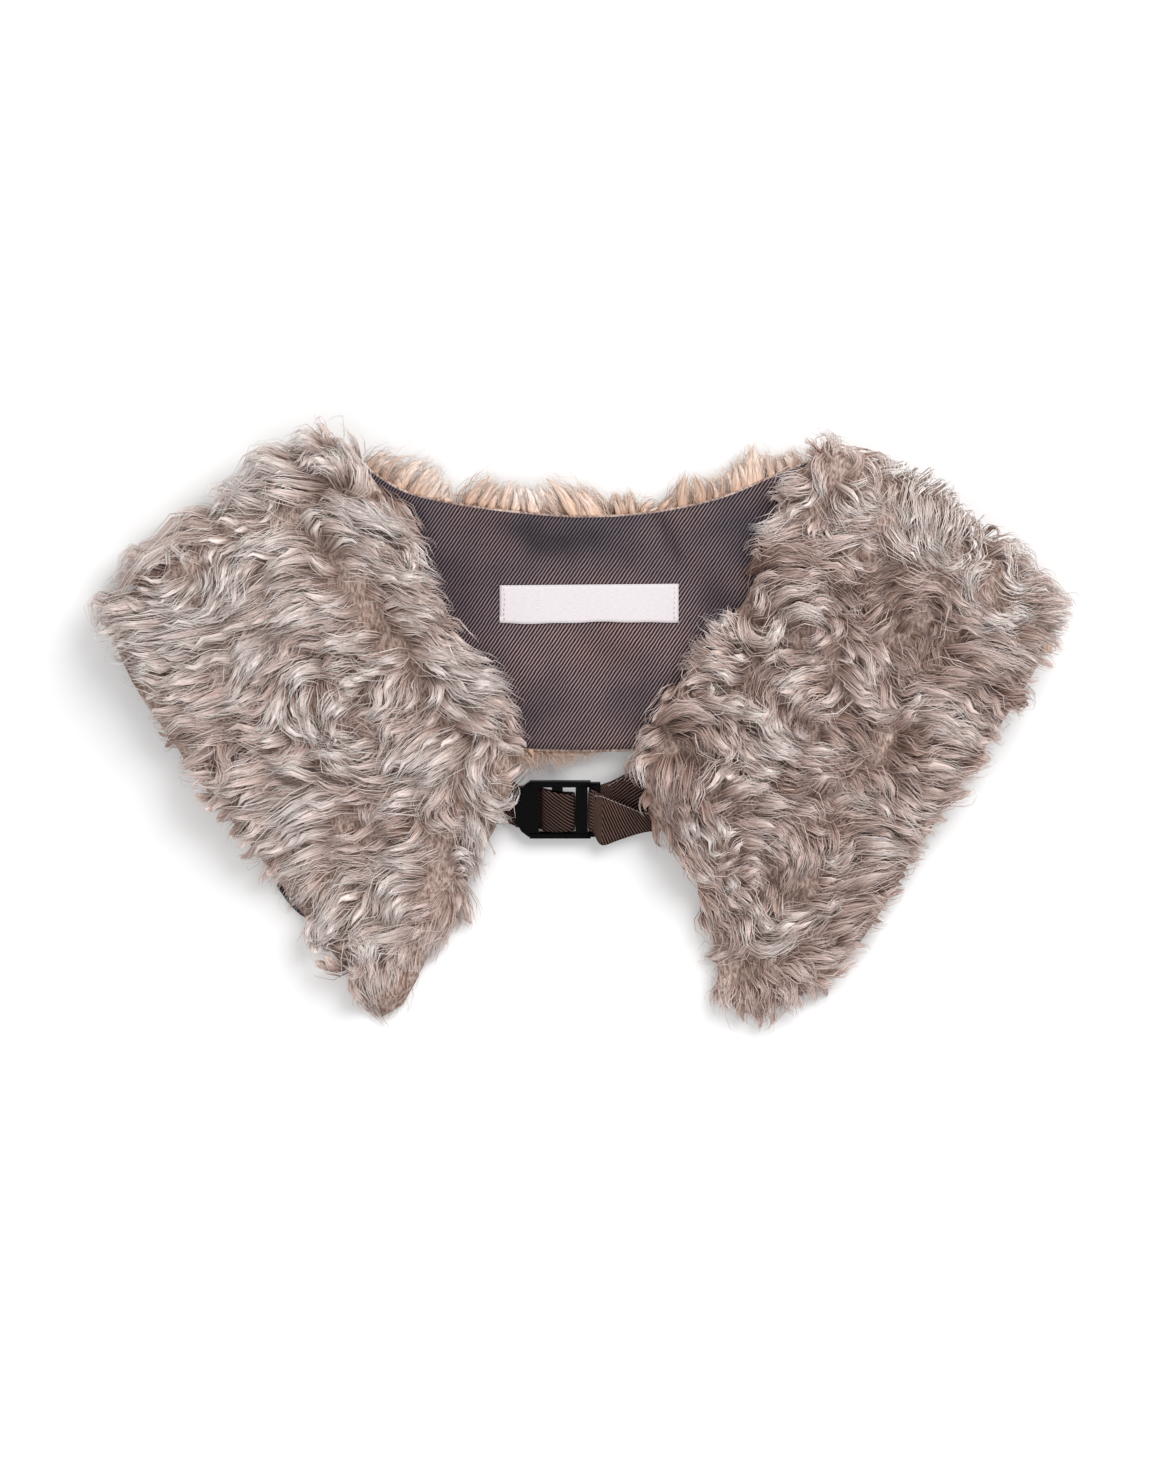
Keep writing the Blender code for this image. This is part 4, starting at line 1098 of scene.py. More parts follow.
def acetalMaterial():
    # Moulded acetal, glossy black, with a slightly uneven gloss
    values = {"Base Color": linear("030304"), "Specular IOR Level": 0.03}
    made, tree, shader = newMaterial("moulded acetal, glossy black", values)
    place = addNode(tree, "ShaderNodeTexCoord").outputs["Object"]
    gloss = grain(tree, place, [1.43 * mm] * 3, 3.0, stops=[(0.3, "404040"), (0.7, "707070")])[1]
    tree.links.new(gloss, shader.inputs["Roughness"])
    return made


def threadMaterial(name, code):
    # Spun sewing thread, with a soft shine
    return newMaterial(name, {"Base Color": linear(code), "Roughness": 0.6, "Specular IOR Level": 0.3})[0]


labelSatin = satinMaterial()
blackAcetal = acetalMaterial()
labelThread = threadMaterial("label thread, grey white", "a79da3")
strapThread = threadMaterial("polyester thread, rosy grey", "a39391")

print("lining and undercoat")

# A crease runs from one place to another, in the frame; width is to where it fades, height is up or down
Crease = namedtuple("Crease", "startX startY endX endY width height")
creases = table(
    Crease,
    # slack under the neck seam
    (-34, 84, -6, 73, 5, -0.55), (-20, 74, 6, 79, 4, -0.4), (6, 84, 30, 79, 5.5, 0.45),
    (33, 90, 42, 70, 3.2, -0.6), (37, 90, 47, 74, 3.6, 0.5), (52, 96, 60, 70, 6, 0.4),
    (-72, 92, -60, 74, 5, 0.5), (-84, 98, -70, 84, 4, -0.4), (-58, 70, -50, 44, 7, -0.3),
    (54, 62, 62, 44, 6, -0.4), (-38, 34, -20, 22, 7, 0.3), (4, 34, 26, 24, 8, -0.3),
    (34, 30, 42, 12, 6, 0.3), (-12, 12, 8, 4, 6, 0.25),
    (-137, -67, -118, -90, 3, -0.9),  # the edge that shows, with painted shade along its trough
    # under the left front
    (-126, -40, -100, -74, 6, 0.4), (-96, -84, -84, -106, 5, -0.35), (-70, -46, -92, -70, 7, 0.3),
    (-150, -20, -120, -34, 6, -0.35),
    # and under the right one
    (100, -50, 84, -86, 6, 0.4), (128, -44, 112, -74, 5, -0.35), (66, -60, 80, -96, 6, -0.3),
    (146, -28, 120, -30, 7, 0.35),
)
liningSettings = {
    "stations": 42,  # sections along a front, round a fold and across the cloth
    "foldSteps": 12,
    "across": 34,
    "inset": 0.5,
    "edgeRound": 0.8,
    "edgeWidth": 2.6,
    "twillAngle": 56,
    "shown": Lobe(-124.5, -76.5, 13, 5.0),  # where the left front's edge shows past the pile
}
undercoatSettings = {
    "stations": 44,
    "foldSteps": 14,
    "across": 34,
    "under": 8,
    "share": 0.5,  # of the pile's depth
    "overhang": 2.2,
    "overhangBack": 0.5,
    "bump": 1.3,
    "fullness": 0.62,
}


def creaseHeight(x, y):
    # The sum of the creases at places of the frame
    places = np.stack([x, y], -1)
    total = np.zeros(x.shape)
    for row in creases:
        start, end = np.array(row[0:2]), np.array(row[2:4])
        long = np.linalg.norm(end - start)
        way = (end - start) / long
        along = np.clip((places - start) @ way, 0, long)
        off = np.linalg.norm(places - start - along[..., None] * way, axis=-1)
        fade = 0.55 + 0.45 * np.sin(math.pi * along / long)
        total = total + row.height * np.exp(-((off / row.width) ** 2)) * fade
    return total


def collarStations(settings):
    # Neck edge, outer edge, turn in degrees, pile and side, from the left point to the right point
    left = smoothRows(leftFront, settings["stations"])[::-1]
    right = smoothRows(rightFront, settings["stations"])
    middle = smoothRows(back, 2 * settings["stations"])
    underPile = formSettings["underPile"]

    def fold(row, turns, side):
        shares = np.minimum(1.0, 1.3 * (turns + 90) / 180)
        return [(*row[:4], underPile + (row[4] - underPile) * s, t, side) for s, t in zip(shares, turns)]

    turns = np.linspace(90, -90, settings["foldSteps"])
    rows = [(*row, 90.0, -1.0) for row in left[:-1]] + fold(left[-1], turns, -1.0)
    rows += [(*row, -90.0, 0.0) for row in middle[1:-1]]
    rows += fold(right[0], turns[::-1], 1.0) + [(*row, 90.0, 1.0) for row in right[1:]]
    return np.array(rows)


def sweepCollar(rows, profileAcross, profileOut, wrinkle=None):
    # Points of every profile on every station, in millimetres of the frame; out is measured from the backing
    neck, outer = rows[:, 0:2], rows[:, 2:4]
    side = rows[:, 6]
    width = np.linalg.norm(outer - neck, axis=1)
    plan = neck[:, None] + (outer - neck)[:, None] * (profileAcross / width[:, None])[..., None]
    turn = np.radians(rows[:, 5])[:, None]
    reach = formSettings["foldRadius"] + profileOut
    out = np.where((side < 0)[:, None], leftWing.out, rightWing.out) * (side != 0)[:, None]
    plan = plan + out[:, None] * (reach * np.cos(turn))[..., None]
    level = foldAxis + reach * np.sin(turn)
    for wing in (leftWing, rightWing):
        flat = (rows[:, 5] > 89.9) & (side == wing.side)
        drop = backingAtFold - wing.backing(plan[flat].reshape(-1, 2))
        level[flat] -= drop.reshape(level[flat].shape)
    plan = plan + layoutShift
    if wrinkle is not None:
        level = level + wrinkle(plan[..., 0], plan[..., 1], rows)
    return np.concatenate([plan, np.maximum(level, 0.12)[..., None]], -1)


def skinRings(name, rings, material, corners=None):
    # Closes equal rings into a solid with a flat fan at both ends
    count, size = rings.shape[:2]
    number = np.arange(count * size).reshape(count, size)
    after = np.roll(number, -1, axis=1)
    walls = np.stack([number[:-1], number[1:], after[1:], after[:-1]], -1).reshape(-1, 4)
    points = np.vstack([rings.reshape(-1, 3), rings[[0, -1]].mean(1)])
    first = np.column_stack([number[0], after[0], np.full(size, count * size)])
    last = np.column_stack([after[-1], number[-1], np.full(size, count * size + 1)])
    faces, maps, mapName = [walls, first, last], None, None
    if corners is not None:
        flat = np.vstack([corners.reshape(-1, 2), corners[[0, -1]].mean(1)])
        maps, mapName = [flat[face] for face in faces], "clothMap"
    made = meshFromArrays(name, points, faces, material, maps, mapName)
    faceOutwards(made.data)
    return made


def clothMap(along, aside, degrees):
    # In metres: x runs along the twill's ribs, y across them
    a = np.radians(degrees)
    ribs = along * np.cos(a) + aside * np.sin(a)
    return np.stack([ribs, -along * np.sin(a) + aside * np.cos(a)], -1) * mm


def makeLining(settings):
    rows = collarStations(settings)
    width = np.linalg.norm(rows[:, 2:4] - rows[:, 0:2], axis=1)
    spread = np.linspace(0, 1, settings["across"])
    shown = settings["shown"]
    off = np.linalg.norm(rows[:, 2:4] + layoutShift - (shown.x, shown.y), axis=1)
    onLeftFront = (rows[:, 6] < 0) & (rows[:, 5] > 89.9)
    bare = shown.more * np.exp(-((off / shown.radius) ** 4)) * onLeftFront
    clear = (width - 2 * settings["inset"] + bare)[:, None]
    near = settings["inset"] + clear * spread
    edge = np.minimum(spread, 1 - spread) * clear
    rim = 1 - np.clip(edge / settings["edgeWidth"], 0, 1)  # the turned edge thins a little
    seam = -formSettings["seamGap"]
    far = seam - formSettings["liningThick"] + settings["edgeRound"] * rim**2
    across = np.concatenate([near, near[:, ::-1]], 1)
    out = np.concatenate([np.full(near.shape, seam), far[:, ::-1]], 1)

    def wrinkle(x, y, rows):
        # deep on the back panel where nothing lies on it, shallow on the fronts
        height = creaseHeight(x, y)
        onBack = (rows[:, 6] == 0)[:, None]
        flat = np.abs(rows[:, 5])[:, None] > 89.9
        shape = np.where(onBack, np.clip(3.0 * height, -0.85, 1.7), np.clip(height, -0.4, 0.35) * 0.8)
        cx, cy, radius = formSettings["outerArc"]
        free = np.hypot(x - layoutShift[0] - cx, y - layoutShift[1] - cy) > radius + 3
        lower = np.arange(x.shape[1])[None] < len(spread)
        return np.where(flat & (onBack | free), shape * np.where(lower & onBack, 0.35, 1.0), 0.0)

    rings = sweepCollar(rows, across, out, wrinkle)
    plan = rings[..., :2]
    cloth = clothMap(plan[..., 0], plan[..., 1], settings["twillAngle"])
    lining = skinRings("lining_cloth", rings, liningTwill, cloth)
    # the creases' depths, read by the twill for painted shade in the troughs
    depths = creaseHeight(plan[..., 0], plan[..., 1]).ravel()
    addAttribute(lining.data, "crease", np.concatenate([depths, [0.0, 0.0]]))
    return lining


def makeUndercoat(settings):
    rows = collarStations(settings)
    neck, outer = rows[:, None, 0:2], rows[:, None, 2:4]
    width = np.linalg.norm(rows[:, 2:4] - rows[:, 0:2], axis=1)[:, None]
    steps, low = settings["across"], settings["under"]
    turn = np.linspace(0, math.pi, steps)[None]
    half = width / 2 + np.where(rows[:, 6:7] == 0, settings["overhangBack"], settings["overhang"])
    crown = np.abs(np.sin(turn)) ** settings["fullness"]
    top = width / 2 - half * np.sign(np.cos(turn)) * np.abs(np.cos(turn)) ** settings["fullness"]
    under = np.linspace(0.0, 1.0, low)[None] * (width - 0.4) + 0.2
    across = np.concatenate([top, under[:, ::-1]], 1)
    out = np.concatenate([0.4 + crown * rows[:, 4:5] * settings["share"], np.zeros((len(rows), low))], 1)
    places = (neck + (outer - neck) * (across / width)[..., None]).reshape(-1, 2)
    shaken = (drift(places, 16.0, 71) + 0.6 * drift(places, 7.0, 73)).reshape(across.shape)
    out[:, :steps] += settings["bump"] * shaken[:, :steps] * np.sin(turn) ** 0.5
    return skinRings("undercoat", sweepCollar(rows, across, out), undercoatMaterial())


lining = makeLining(liningSettings)
undercoat = makeUndercoat(undercoatSettings)

print("label")

labelSettings = {
    "middle": (1.8, 54.4),
    "size": (77.0, 16.4),
    "thick": 0.4,
    "level": liningLevel + formSettings["seamGap"],
    "slant": 0.7,  # from end to end
    "stitches": 7,  # at each end
    "stitch": (0.1, 1.24, 0.17),  # how far one runs along and up, and half its thread's width
}


def stitchMesh(name, runs, radius, material, steps=5, sides=6):
    # Each stitch is a short arch of thread: x and y of its two holes in the layout, and its level
    runs = np.array(runs, float)
    start, end, level = runs[:, 0:2], runs[:, 2:4], runs[:, 4]
    way = unit(end - start)
    side = np.column_stack([-way[:, 1], way[:, 0]])
    t = np.linspace(0, 1, steps)
    turns = fullTurn * np.arange(sides) / sides
    middle = start[:, None] + (end - start)[:, None] * t[:, None]
    plan = middle[:, :, None] + side[:, None, None] * (radius * np.cos(turns))[:, None] + layoutShift
    arch = level[:, None] + radius * 1.2 * (np.sin(math.pi * t) - 0.4)
    high = arch[..., None] + radius * np.sin(turns)
    points = np.concatenate([plan, high[..., None]], -1).reshape(-1, 3)
    return meshFromArrays(name, points, tubeFaces(len(runs), steps, sides), material)


def makeLabel(settings):
    cx, cy = settings["middle"]
    length, height = settings["size"]
    along, up = np.meshgrid(np.linspace(-0.5, 0.5, 60), np.linspace(-0.5, 0.5, 12), indexing="ij")
    lower = 0.25 * np.sin(along * 9 + 1.0) + 0.16 * np.sin(along * 23)  # its lower edge isn't quite straight
    x = cx + along * length
    y = cy + up * height + lower * (0.5 - up) + along * settings["slant"]
    sag = 0.1 * np.sin(along * 14 + up * 3) + 0.08 * np.sin(along * 5 - up * 4)
    hem = 0.18 * np.exp(-(((np.abs(along) - 0.472) / 0.012) ** 2))
    base = settings["level"] + 0.12 + sag * 0.6
    upper = np.stack([x, y, base + settings["thick"] - 0.1 + hem], -1)
    rings = np.concatenate([upper, np.stack([x, y, base], -1)[:, ::-1]], 1)
    rings[..., :2] += layoutShift
    label = skinRings("label_cloth", rings, labelSatin)
    stitches = []
    lean, run, radius = settings["stitch"]
    level = settings["level"] + settings["thick"] + 0.07
    for end in (-1, 1):
        for i in range(settings["stitches"]):
            u = (i + 0.5) / settings["stitches"] - 0.5
            x = cx + end * (length / 2 - 1.9) + 0.15 * math.sin(i * 5.1)
            y = cy + u * (height - 1.4) + end * 0.33
            stitches.append((x, y - run / 2, x + lean, y + run / 2, level))
    return label, stitchMesh("label_stitches", stitches, radius, labelThread)


label, labelStitches = makeLabel(labelSettings)

print("straps and buckle")

strapSettings = {"width": 18.6, "thick": 1.2, "across": 10, "between": 5, "clearance": 0.5}
buckleSettings = {
    "middle": (0.0, -34.2, 8.6),
    "tilt": 15.0,
    "width": 25.0,
    "railWidth": 2.1,
    "railHalf": 2.4,
    "barHalf": 1.5,
    "bars": ((-23.4, -19.9), (-14.3, -9.5), (-4.0, 1.2), (3.1, 6.7)),  # tab bar, middle, right and loop bar
    "tab": ((-30.2, -5.0), (-27.4, -9.6)),
    "bevel": 0.35,
}
# x and z of the tape's middle line in the buckle's own frame, and how far its top edge drops
threaded = [
    (-27, -2.65, 0), (-20.6, -2.65, 0), (-18.8, -2, 0), (-18.2, -0.5, 0), (-17.9, 0.9, 0), (-16.9, 2, 0.2),
    (-14.9, 2.6, 0.6), (-11.7, 2.8, 1.3), (-8.4, 2.6, 1.9), (-6.2, 1.9, 2.1), (-5, 0.4, 2.2),
    (-4.7, -1.6, 2.3), (-5.8, -3.3, 2.4), (-8, -4.15, 2.6), (-14, -4.25, 2), (-22, -4.25, 0), (-30, -4.25, 0),
]
# The tapes' upper and lower edges outside the buckle, in the layout
leftRun = [
    (-49.0, -14.0, 11.6, -54.0, -32.0, 9.8), (-43.0, -15.5, 11.2, -46.0, -34.5, 8.6),
    (-35.0, -19.0, 9.6, -37.0, -38.5, 4.9),
]
rightLowerRun = [
    (43.0, -14.5, 11.4, 47.0, -31.0, 8.8), (31.0, -16.0, 10.6, 36.0, -34.0, 7.4),
    (19.0, -18.5, 9.2, 25.0, -38.0, 5.2), (11.5, -22.0, 8.2, 13.0, -42.0, 3.8),
]
rightUpperRun = [
    (7.6, -28.0, 13.0, 7.2, -49.6, 9.0), (14.6, -31.0, 11.8, 15.2, -47.2, 8.2),
    (23.6, -34.6, 10.4, 26.0, -44.0, 7.8), (33.0, -36.5, 9.0, 35.0, -43.5, 7.4),
]


def inBuckle(x, y, z, settings=buckleSettings):
    tilt = Matrix.Rotation(math.radians(settings["tilt"]), 3, "X")
    return Vector(settings["middle"]) + tilt @ Vector((x, y, z))


def tapeRows(points, settings):
    half = settings["width"] / 2
    return [(*inBuckle(x, half - drop, z), *inBuckle(x, -half, z)) for x, z, drop in points]


def makeTape(name, edgeRows, settings, ribs):
    # ribs gives, for each given row, the twill's angle there in degrees
    rows = smoothRows(edgeRows, (len(edgeRows) - 1) * settings["between"] + 1)
    given = np.linspace(0, len(edgeRows) - 1, len(rows))
    angles = np.interp(given, np.arange(len(edgeRows)), ribs)[:, None]
    upper, lower = rows[:, 0:3], rows[:, 3:6]
    middle = (upper + lower) / 2
    face = unit(np.cross(unit(np.gradient(middle, axis=0)), upper - lower))
    spread = np.linspace(0, 1, settings["across"])
    edge = np.clip(np.minimum(spread, 1 - spread) * 20.0, 0, 1)  # thins over the last twentieth
    thick = settings["thick"] / 2 * (0.55 + 0.45 * domed(edge, 1.0))
    flat = upper[:, None] + (lower - upper)[:, None] * spread[:, None]
    away = face[:, None] * thick[:, None]
    rings = np.concatenate([flat + away, (flat - away)[:, ::-1]], 1)
    rings[..., :2] += layoutShift
    rings[..., 2] = np.maximum(rings[..., 2], 0.2)
    steps = np.linalg.norm(np.diff(middle, axis=0), axis=1)
    run = np.concatenate([[0], np.cumsum(steps)])[:, None]
    cloth = clothMap(run, np.linalg.norm(lower - upper, axis=1)[:, None] * spread, angles)
    return skinRings(name, rings, strapTwill, np.concatenate([cloth, cloth[:, ::-1]], 1))


def rightLoop(settings):
    # Round the buckle's last bar
    low, high = buckleSettings["bars"][3]
    room = settings["clearance"] + settings["thick"] / 2
    reach, rise = (high - low) / 2 + room, buckleSettings["barHalf"] + room
    loop = []
    for degrees in (255, 228, 204, 180, 156, 132, 105):
        turn = math.radians(degrees)
        c, s = (math.copysign(abs(v) ** 0.6, v) for v in (math.cos(turn), math.sin(turn)))
        loop.append(((low + high) / 2 + reach * c, rise * s, 0))
    return rightLowerRun + tapeRows(loop, settings) + rightUpperRun


leftRibs = [30.0] * 20
rightRibs = [-165.0] * 4 + [-150.0] * 7 + [62.0] * 4
leftTape = makeTape("left_tape", leftRun + tapeRows(threaded, strapSettings), strapSettings, leftRibs)
rightTape = makeTape("right_tape", rightLoop(strapSettings), strapSettings, rightRibs)


def edgeStitches(run, inset, pitch):
    # A row of stitches just inside the given edge points, which are layout places with their height
    made = []
    for start, end in zip(np.array(run[:-1]), np.array(run[1:])):
        way = end - start
        side = unit(np.array([way[1], -way[0]])) * inset
        count = max(1, round(np.hypot(*way[:2]) / pitch))
        for i in range(count):
            a, b = start + way * (i + 0.1) / count, start + way * (i + 0.82) / count
            made.append((*(a[:2] + side), *(b[:2] + side), (a[2] + b[2]) / 2))
    return made


upperEdge = [
    (4.2, -27.6, 13.9), (7.6, -28.0, 13.75), (14.6, -31.0, 12.55), (23.6, -34.6, 11.15), (30.0, -36.1, 10.2),
]
lowerEdge = [(9.4, -23.4, 8.9), (14.4, -20.7, 9.5), (19.0, -18.5, 9.95), (25.0, -17.0, 10.6)]
stitches = edgeStitches(upperEdge, 0.7, 2.1) + edgeStitches(lowerEdge, 0.8, 2.1)
tapeStitches = stitchMesh("tape_stitches", stitches, 0.16, strapThread)


def slab(name, corners, halfHeight, material):
    # A flat plate in the buckle's own frame, of the given outline
    count = len(corners)
    points = np.array([inBuckle(x, y, z) for z in (-halfHeight, halfHeight) for x, y in corners])
    points[:, :2] += layoutShift
    faces = [tuple(range(count))[::-1], tuple(range(count, 2 * count))]
    faces += [(i, (i + 1) % count, (i + 1) % count + count, i + count) for i in range(count)]
    mesh = bpy.data.meshes.new(name)
    mesh.from_pydata([tuple(p) for p in points * mm], [], faces)
    faceOutwards(mesh)
    mesh.materials.append(material)
    return addObject(name, mesh)


def makeBuckle(settings):
    half = settings["width"] / 2
    bars, tab = settings["bars"], settings["tab"]
    bodyHalf = half - 0.5
    body = [*tab, (bars[0][0] - 1.0, -bodyHalf), (bars[3][1], -bodyHalf)]
    body += [(x, -y) for x, y in reversed(body)]
    buckle = slab("buckle_body", body, settings["barHalf"], blackAcetal)
    rail = bars[0][0] - 0.5, bars[3][0] - 0.6
    slot = half - settings["railWidth"] - 0.2
    cuts = [(*rail, -half, settings["railWidth"] - half, settings["railHalf"], "UNION")]
    cuts += [(*rail, half - settings["railWidth"], half, settings["railHalf"], "UNION")]
    for i in range(3):
        cuts += [(bars[i][1], bars[i + 1][0], -slot, slot, 2 * settings["railHalf"], "DIFFERENCE")]
    helpers = []
    for xLow, xHigh, yLow, yHigh, halfHeight, operation in cuts:
        box = [(xLow, yLow), (xHigh, yLow), (xHigh, yHigh), (xLow, yHigh)]
        helpers.append(slab("helper", box, halfHeight, blackAcetal))
        cut = buckle.modifiers.new(operation.lower(), "BOOLEAN")
        cut.object = helpers[-1]
        cut.operation = operation
    weld = buckle.modifiers.new("weld", "WELD")
    weld.merge_threshold = 0.02 * mm
    rounding = buckle.modifiers.new("rounding", "BEVEL")
    rounding.width = settings["bevel"] * mm
    rounding.segments = 3
    rounding.limit_method = "ANGLE"
    rounding.angle_limit = math.radians(40)
    made = plainMesh(buckle, "buckle")
    for helper in helpers:
        bpy.data.objects.remove(helper, do_unlink=True)
    made.data.shade_smooth()
    made.data.set_sharp_from_angle(angle=math.radians(50))
    return made


buckle = makeBuckle(buckleSettings)

print("the pile's locks")

lockSettings = {
    "strandReach": 1.35,  # how widely the strands spread, of its width
    "bodyShade": 0.12,  # painted shade: how much darker a body is than its strands, which lie over it
    "bodyGirth": 0.86,  # a body's width, of its lock's
    "bodySides": 6,
    "bodyFlat": 0.4,
    "bodyTint": 0.16,  # painted light and shade: how far tones differ round it, one side of a lock paler than the other
    "bodyReach": 0.76,  # how far along the lock it goes
    "bodySink": 0.75,
}
toneSettings = {  # what makes locks paler or darker, on the scale from 0 to 1: partly the hair's own tone, partly painted light and shade
    "comb": 0.44,  # the tone of the sweeps near them, partly painted light and shade
    "patches": 0.08,
    # painted light: pileHeight raises clumps with this same drift, and raised clumps are paler
    "clumps": 0.1,
    "layer": 0.6,  # painted light and shade: high locks are paler than deep ones
    "lock": 0.05,  # from lock to lock
}
toneRange = (0.08, 0.92)
furPieces = []


def nearFold(form, places):
    # 1 at a front's fold, fading to 0 about 40 mm below it: where painted light lies on the roll
    if not isinstance(form, Wing):
        return np.zeros(len(places))
    return np.exp(-((np.minimum((places - form.neckEnd) @ form.out, 0.0) / 22.0) ** 2))


def dress(name, sets, material, seed, counts=12, values=None, settings=lockSettings, soft=0.0):
    # Bodies and strands for several sets of locks, as two pieces; soft thins the bodies near the fold and
    # lessens their painted shade there
    locks = {key: np.concatenate([s[0][key] for s in sets]) for key in ("line", "side", "rise", "fold")}
    girths = np.concatenate([s[1] for s in sets])
    tints = np.concatenate([s[2] for s in sets])
    near = soft * locks["fold"]
    # painted shade: bodies are darker than their strands, less so near the fold
    bodyTints = np.clip(tints - settings["bodyShade"] + 0.1 * near, *toneRange)
    bodyGirths = girths * settings["bodyGirth"] * (1 - near)
    bodies = lockBodies(name + "_locks", locks, bodyGirths, bodyTints, material, settings)
    strandCounts = np.clip(counts * girths / girths.mean(), 0.75 * counts, 1.25 * counts)
    strandCounts = np.round(strandCounts) - (counts > 6)
    values = {"Seed": seed, **(values or {})}
    reach = girths * settings["strandReach"]
    hairs = pileOf(name + "_hairs", locks, reach, tints, strandCounts, material, values)
    print("  ", name, len(girths), "locks", sum(len(o.data.polygons) for o in (bodies, hairs)), "faces")
    furPieces.extend([bodies, hairs])


def freeLocks(form, comb, roots, tone, seed, lengths, crimp=1.0, girth=1.0, foldLight=0.17):
    # Locks all over the cloth: what they follow, half their widths and their tones
    dice = np.random.default_rng(seed)
    count = len(roots)
    long = dice.uniform(*lengths, count)
    layers = dice.uniform(0.62, 1.0, count)
    locks = growLocks(form, comb, roots, long, layers, seed, crimp)
    locks["fold"] = nearFold(form, roots)
    # painted light near the fold and on high clumps and locks, painted shade on deep ones; the comb's tone is
    # partly painted light and shade
    tints = 0.5 + tone + foldLight * locks["fold"] + toneSettings["comb"] * locks["tone"]
    tints += toneSettings["patches"] * drift(roots, 36.0, 37)
    tints += toneSettings["clumps"] * drift(roots, 27.0, 53)
    tints += toneSettings["layer"] * (layers - 0.84) + dice.normal(0, toneSettings["lock"], count)
    widths = pileSettings["girth"] * girth * dice.uniform(0.75, 1.3, count)
    return locks, widths, np.clip(tints, *toneRange)


def drawnLocks(
    form, rows, tone, seed, each=2, layer=(0.88, 1.04), girth=1.0, low=0.0, spread=0.55, stretch=1.0
):
    # Locks that follow sweeps, in the same form
    dice = np.random.default_rng(seed)
    locks = pathLocks(form, rows, each, layer, seed, spread, low, stretch)
    count = len(locks["tone"])
    locks["fold"] = nearFold(form, locks["line"][:, 0, :2])
    # the sweeps' tone, partly painted light and shade
    tints = 0.54 + tone + 0.46 * locks["tone"] + dice.normal(0, toneSettings["lock"], count)
    widths = pileSettings["girth"] * girth * np.clip(locks["length"] / 26, 0.55, 1.25)
    return locks, widths * dice.uniform(0.75, 1.25, count), np.clip(tints, 0.08, 0.94)


def nearShoulder(form, places, share):
    # Whether places lie nearer the shoulder than this share of the front
    depths = form.edges(places)
    row = (depths.neckRow + depths.outerRow) / 2
    return row < formSettings["wrapSteps"] + share * formSettings["frontSteps"]


upperShare = 0.36  # of a front's length, dressed as its upper part
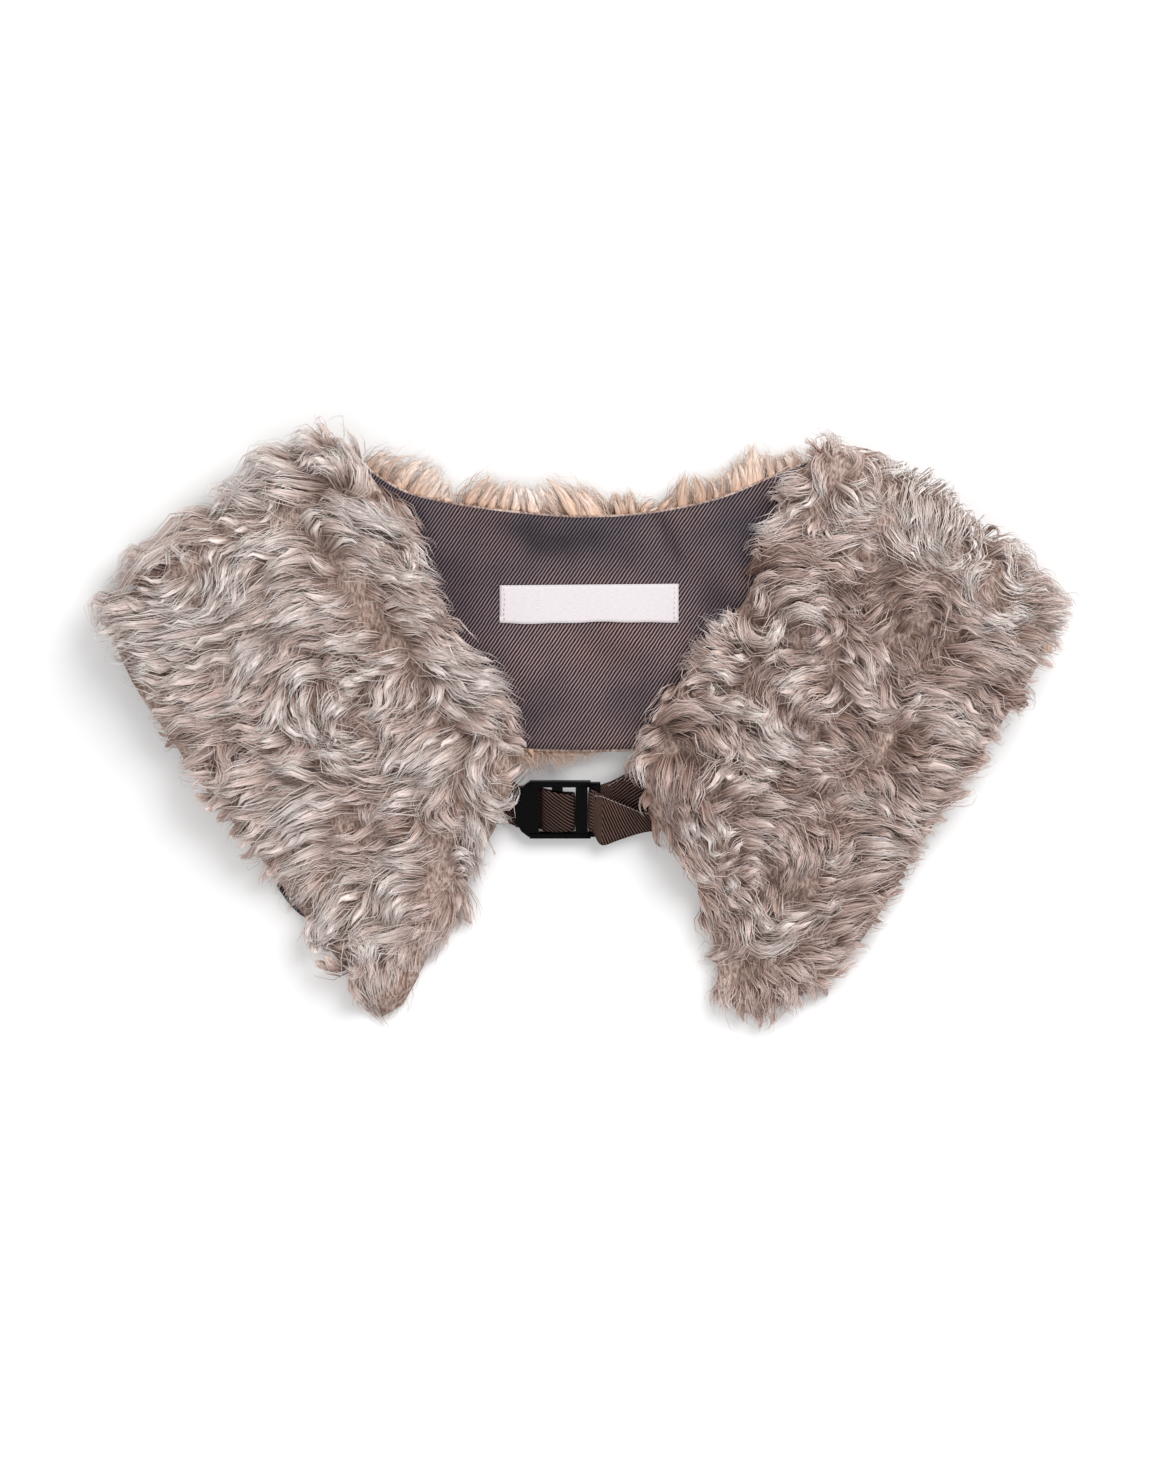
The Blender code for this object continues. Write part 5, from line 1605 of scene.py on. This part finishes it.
# tone is painted light and shade: the left front paler and the right darker, for how the light falls on them;
# foldLight is painted light on the roll at the fold
for sideName, wing, comb, sweeps, tone, seed, lengths, crimp, foldLight, soft in (
    ("left", leftWing, leftComb, leftSweeps, 0.12, 100, (20.0, 38.0), 0.7, 0.26, 0.36),
    ("right", rightWing, rightComb, rightSweeps, -0.05, 200, (16.0, 32.0), 1.0, 0.5, 0.6),
):
    roots = scatter(wing, pileSettings["spacing"], seed)
    pastFold = (roots - wing.neckEnd) @ wing.out
    overFold, hidden = pastFold > 0, pastFold > 1.9 * wing.wrapRadius  # round the fold, and far round it
    upper = nearShoulder(wing, roots, upperShare)
    drawn = np.array(sweeps, float)
    drawnUpper = nearShoulder(wing, drawn[:, 0:2] - layoutShift, upperShare)
    fold = freeLocks(wing, comb, roots[overFold & ~hidden], tone, seed + 1, (15, 24), girth=1.2, foldLight=foldLight)
    roll = freeLocks(wing, comb, roots[hidden][::3], tone, seed + 6, (16, 24), girth=1.5)
    dress(sideName + "_fold", [fold], frontMohair, seed + 1, counts=6, soft=soft)
    dress(sideName + "_roll", [roll], frontMohair, seed + 6, counts=2)
    dress(sideName + "_upper", [
        freeLocks(wing, comb, roots[upper & ~overFold], tone, seed + 2, lengths, crimp, foldLight=foldLight),
        drawnLocks(wing, drawn[drawnUpper], tone, seed + 4),
    ], frontMohair, seed + 2, soft=soft)
    dress(sideName + "_lower", [
        freeLocks(wing, comb, roots[~upper], tone, seed + 3, lengths, crimp),
        drawnLocks(wing, drawn[~drawnUpper], tone, seed + 5),
    ], frontMohair, seed + 3)

roots = scatter(underside, 11.5, 301)
depths = underside.edges(roots)
roots = roots[(depths.end > -1) & ((depths.outer > 14) | (np.abs(roots[:, 0]) > 45))]  # the hem has its own
flatLocks = {
    **lockSettings,
    "bodyGirth": 1.0,
    "bodySides": 4,
    "bodyFlat": 0.2,
    "bodyReach": 0.6,
    "bodySink": 0.9,
}
under = freeLocks(underside, underComb, roots, 0.0, 301, (22, 34), girth=1.5)
dress("under", [under], underMohair, 301, counts=4, settings=flatLocks)

atNeck = [row for row in fringeTufts if row.rootY > 0]
fringe = drawnLocks(underside, atNeck, 0.08, 401, 6, (0.3, 0.8), girth=1.2, low=0.5, spread=0.8, stretch=1.16)
values = {"Strand width": 0.00021, "Stray share": 0.55, "Wave": 0.0014}
longLocks = {**lockSettings, "bodyReach": 0.86}
dress("fringe", [fringe], underMohair, 401, counts=13, values=values, settings=longLocks)

atHem = [row for row in fringeTufts if row.rootY < 0]
hem = drawnLocks(underside, atHem, -0.1, 402, 6, (0.15, 0.45), girth=0.8, low=0.4, spread=1.0)
values = {"Strand width": 0.0002, "Stray share": 0.6, "Wave": 0.0016}
shortLocks = {**lockSettings, "bodyGirth": 1.0, "bodyReach": 0.35, "bodyFlat": 0.2, "bodySink": 1.4}
dress("hem", [hem], underMohair, 402, counts=9, values=values, settings=shortLocks)

print("attaching")

pieces = [
    (lining, "lining", "lining_twill"),
    (label, "label", "label_satin"),
    (labelStitches, "label", "label_satin"),
    (leftTape, "strap_left", "strap_twill"),
    (rightTape, "strap_right", "strap_twill"),
    (tapeStitches, "strap_right", "strap_twill"),
    (buckle, "ladder_lock", "buckle_plastic"),
    (undercoat, "fur_collar", "pile"),
]
pieces += [(piece, "fur_collar", "pile") for piece in furPieces]
for piece, node, slot in pieces:
    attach(piece, "root")
    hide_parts(node)
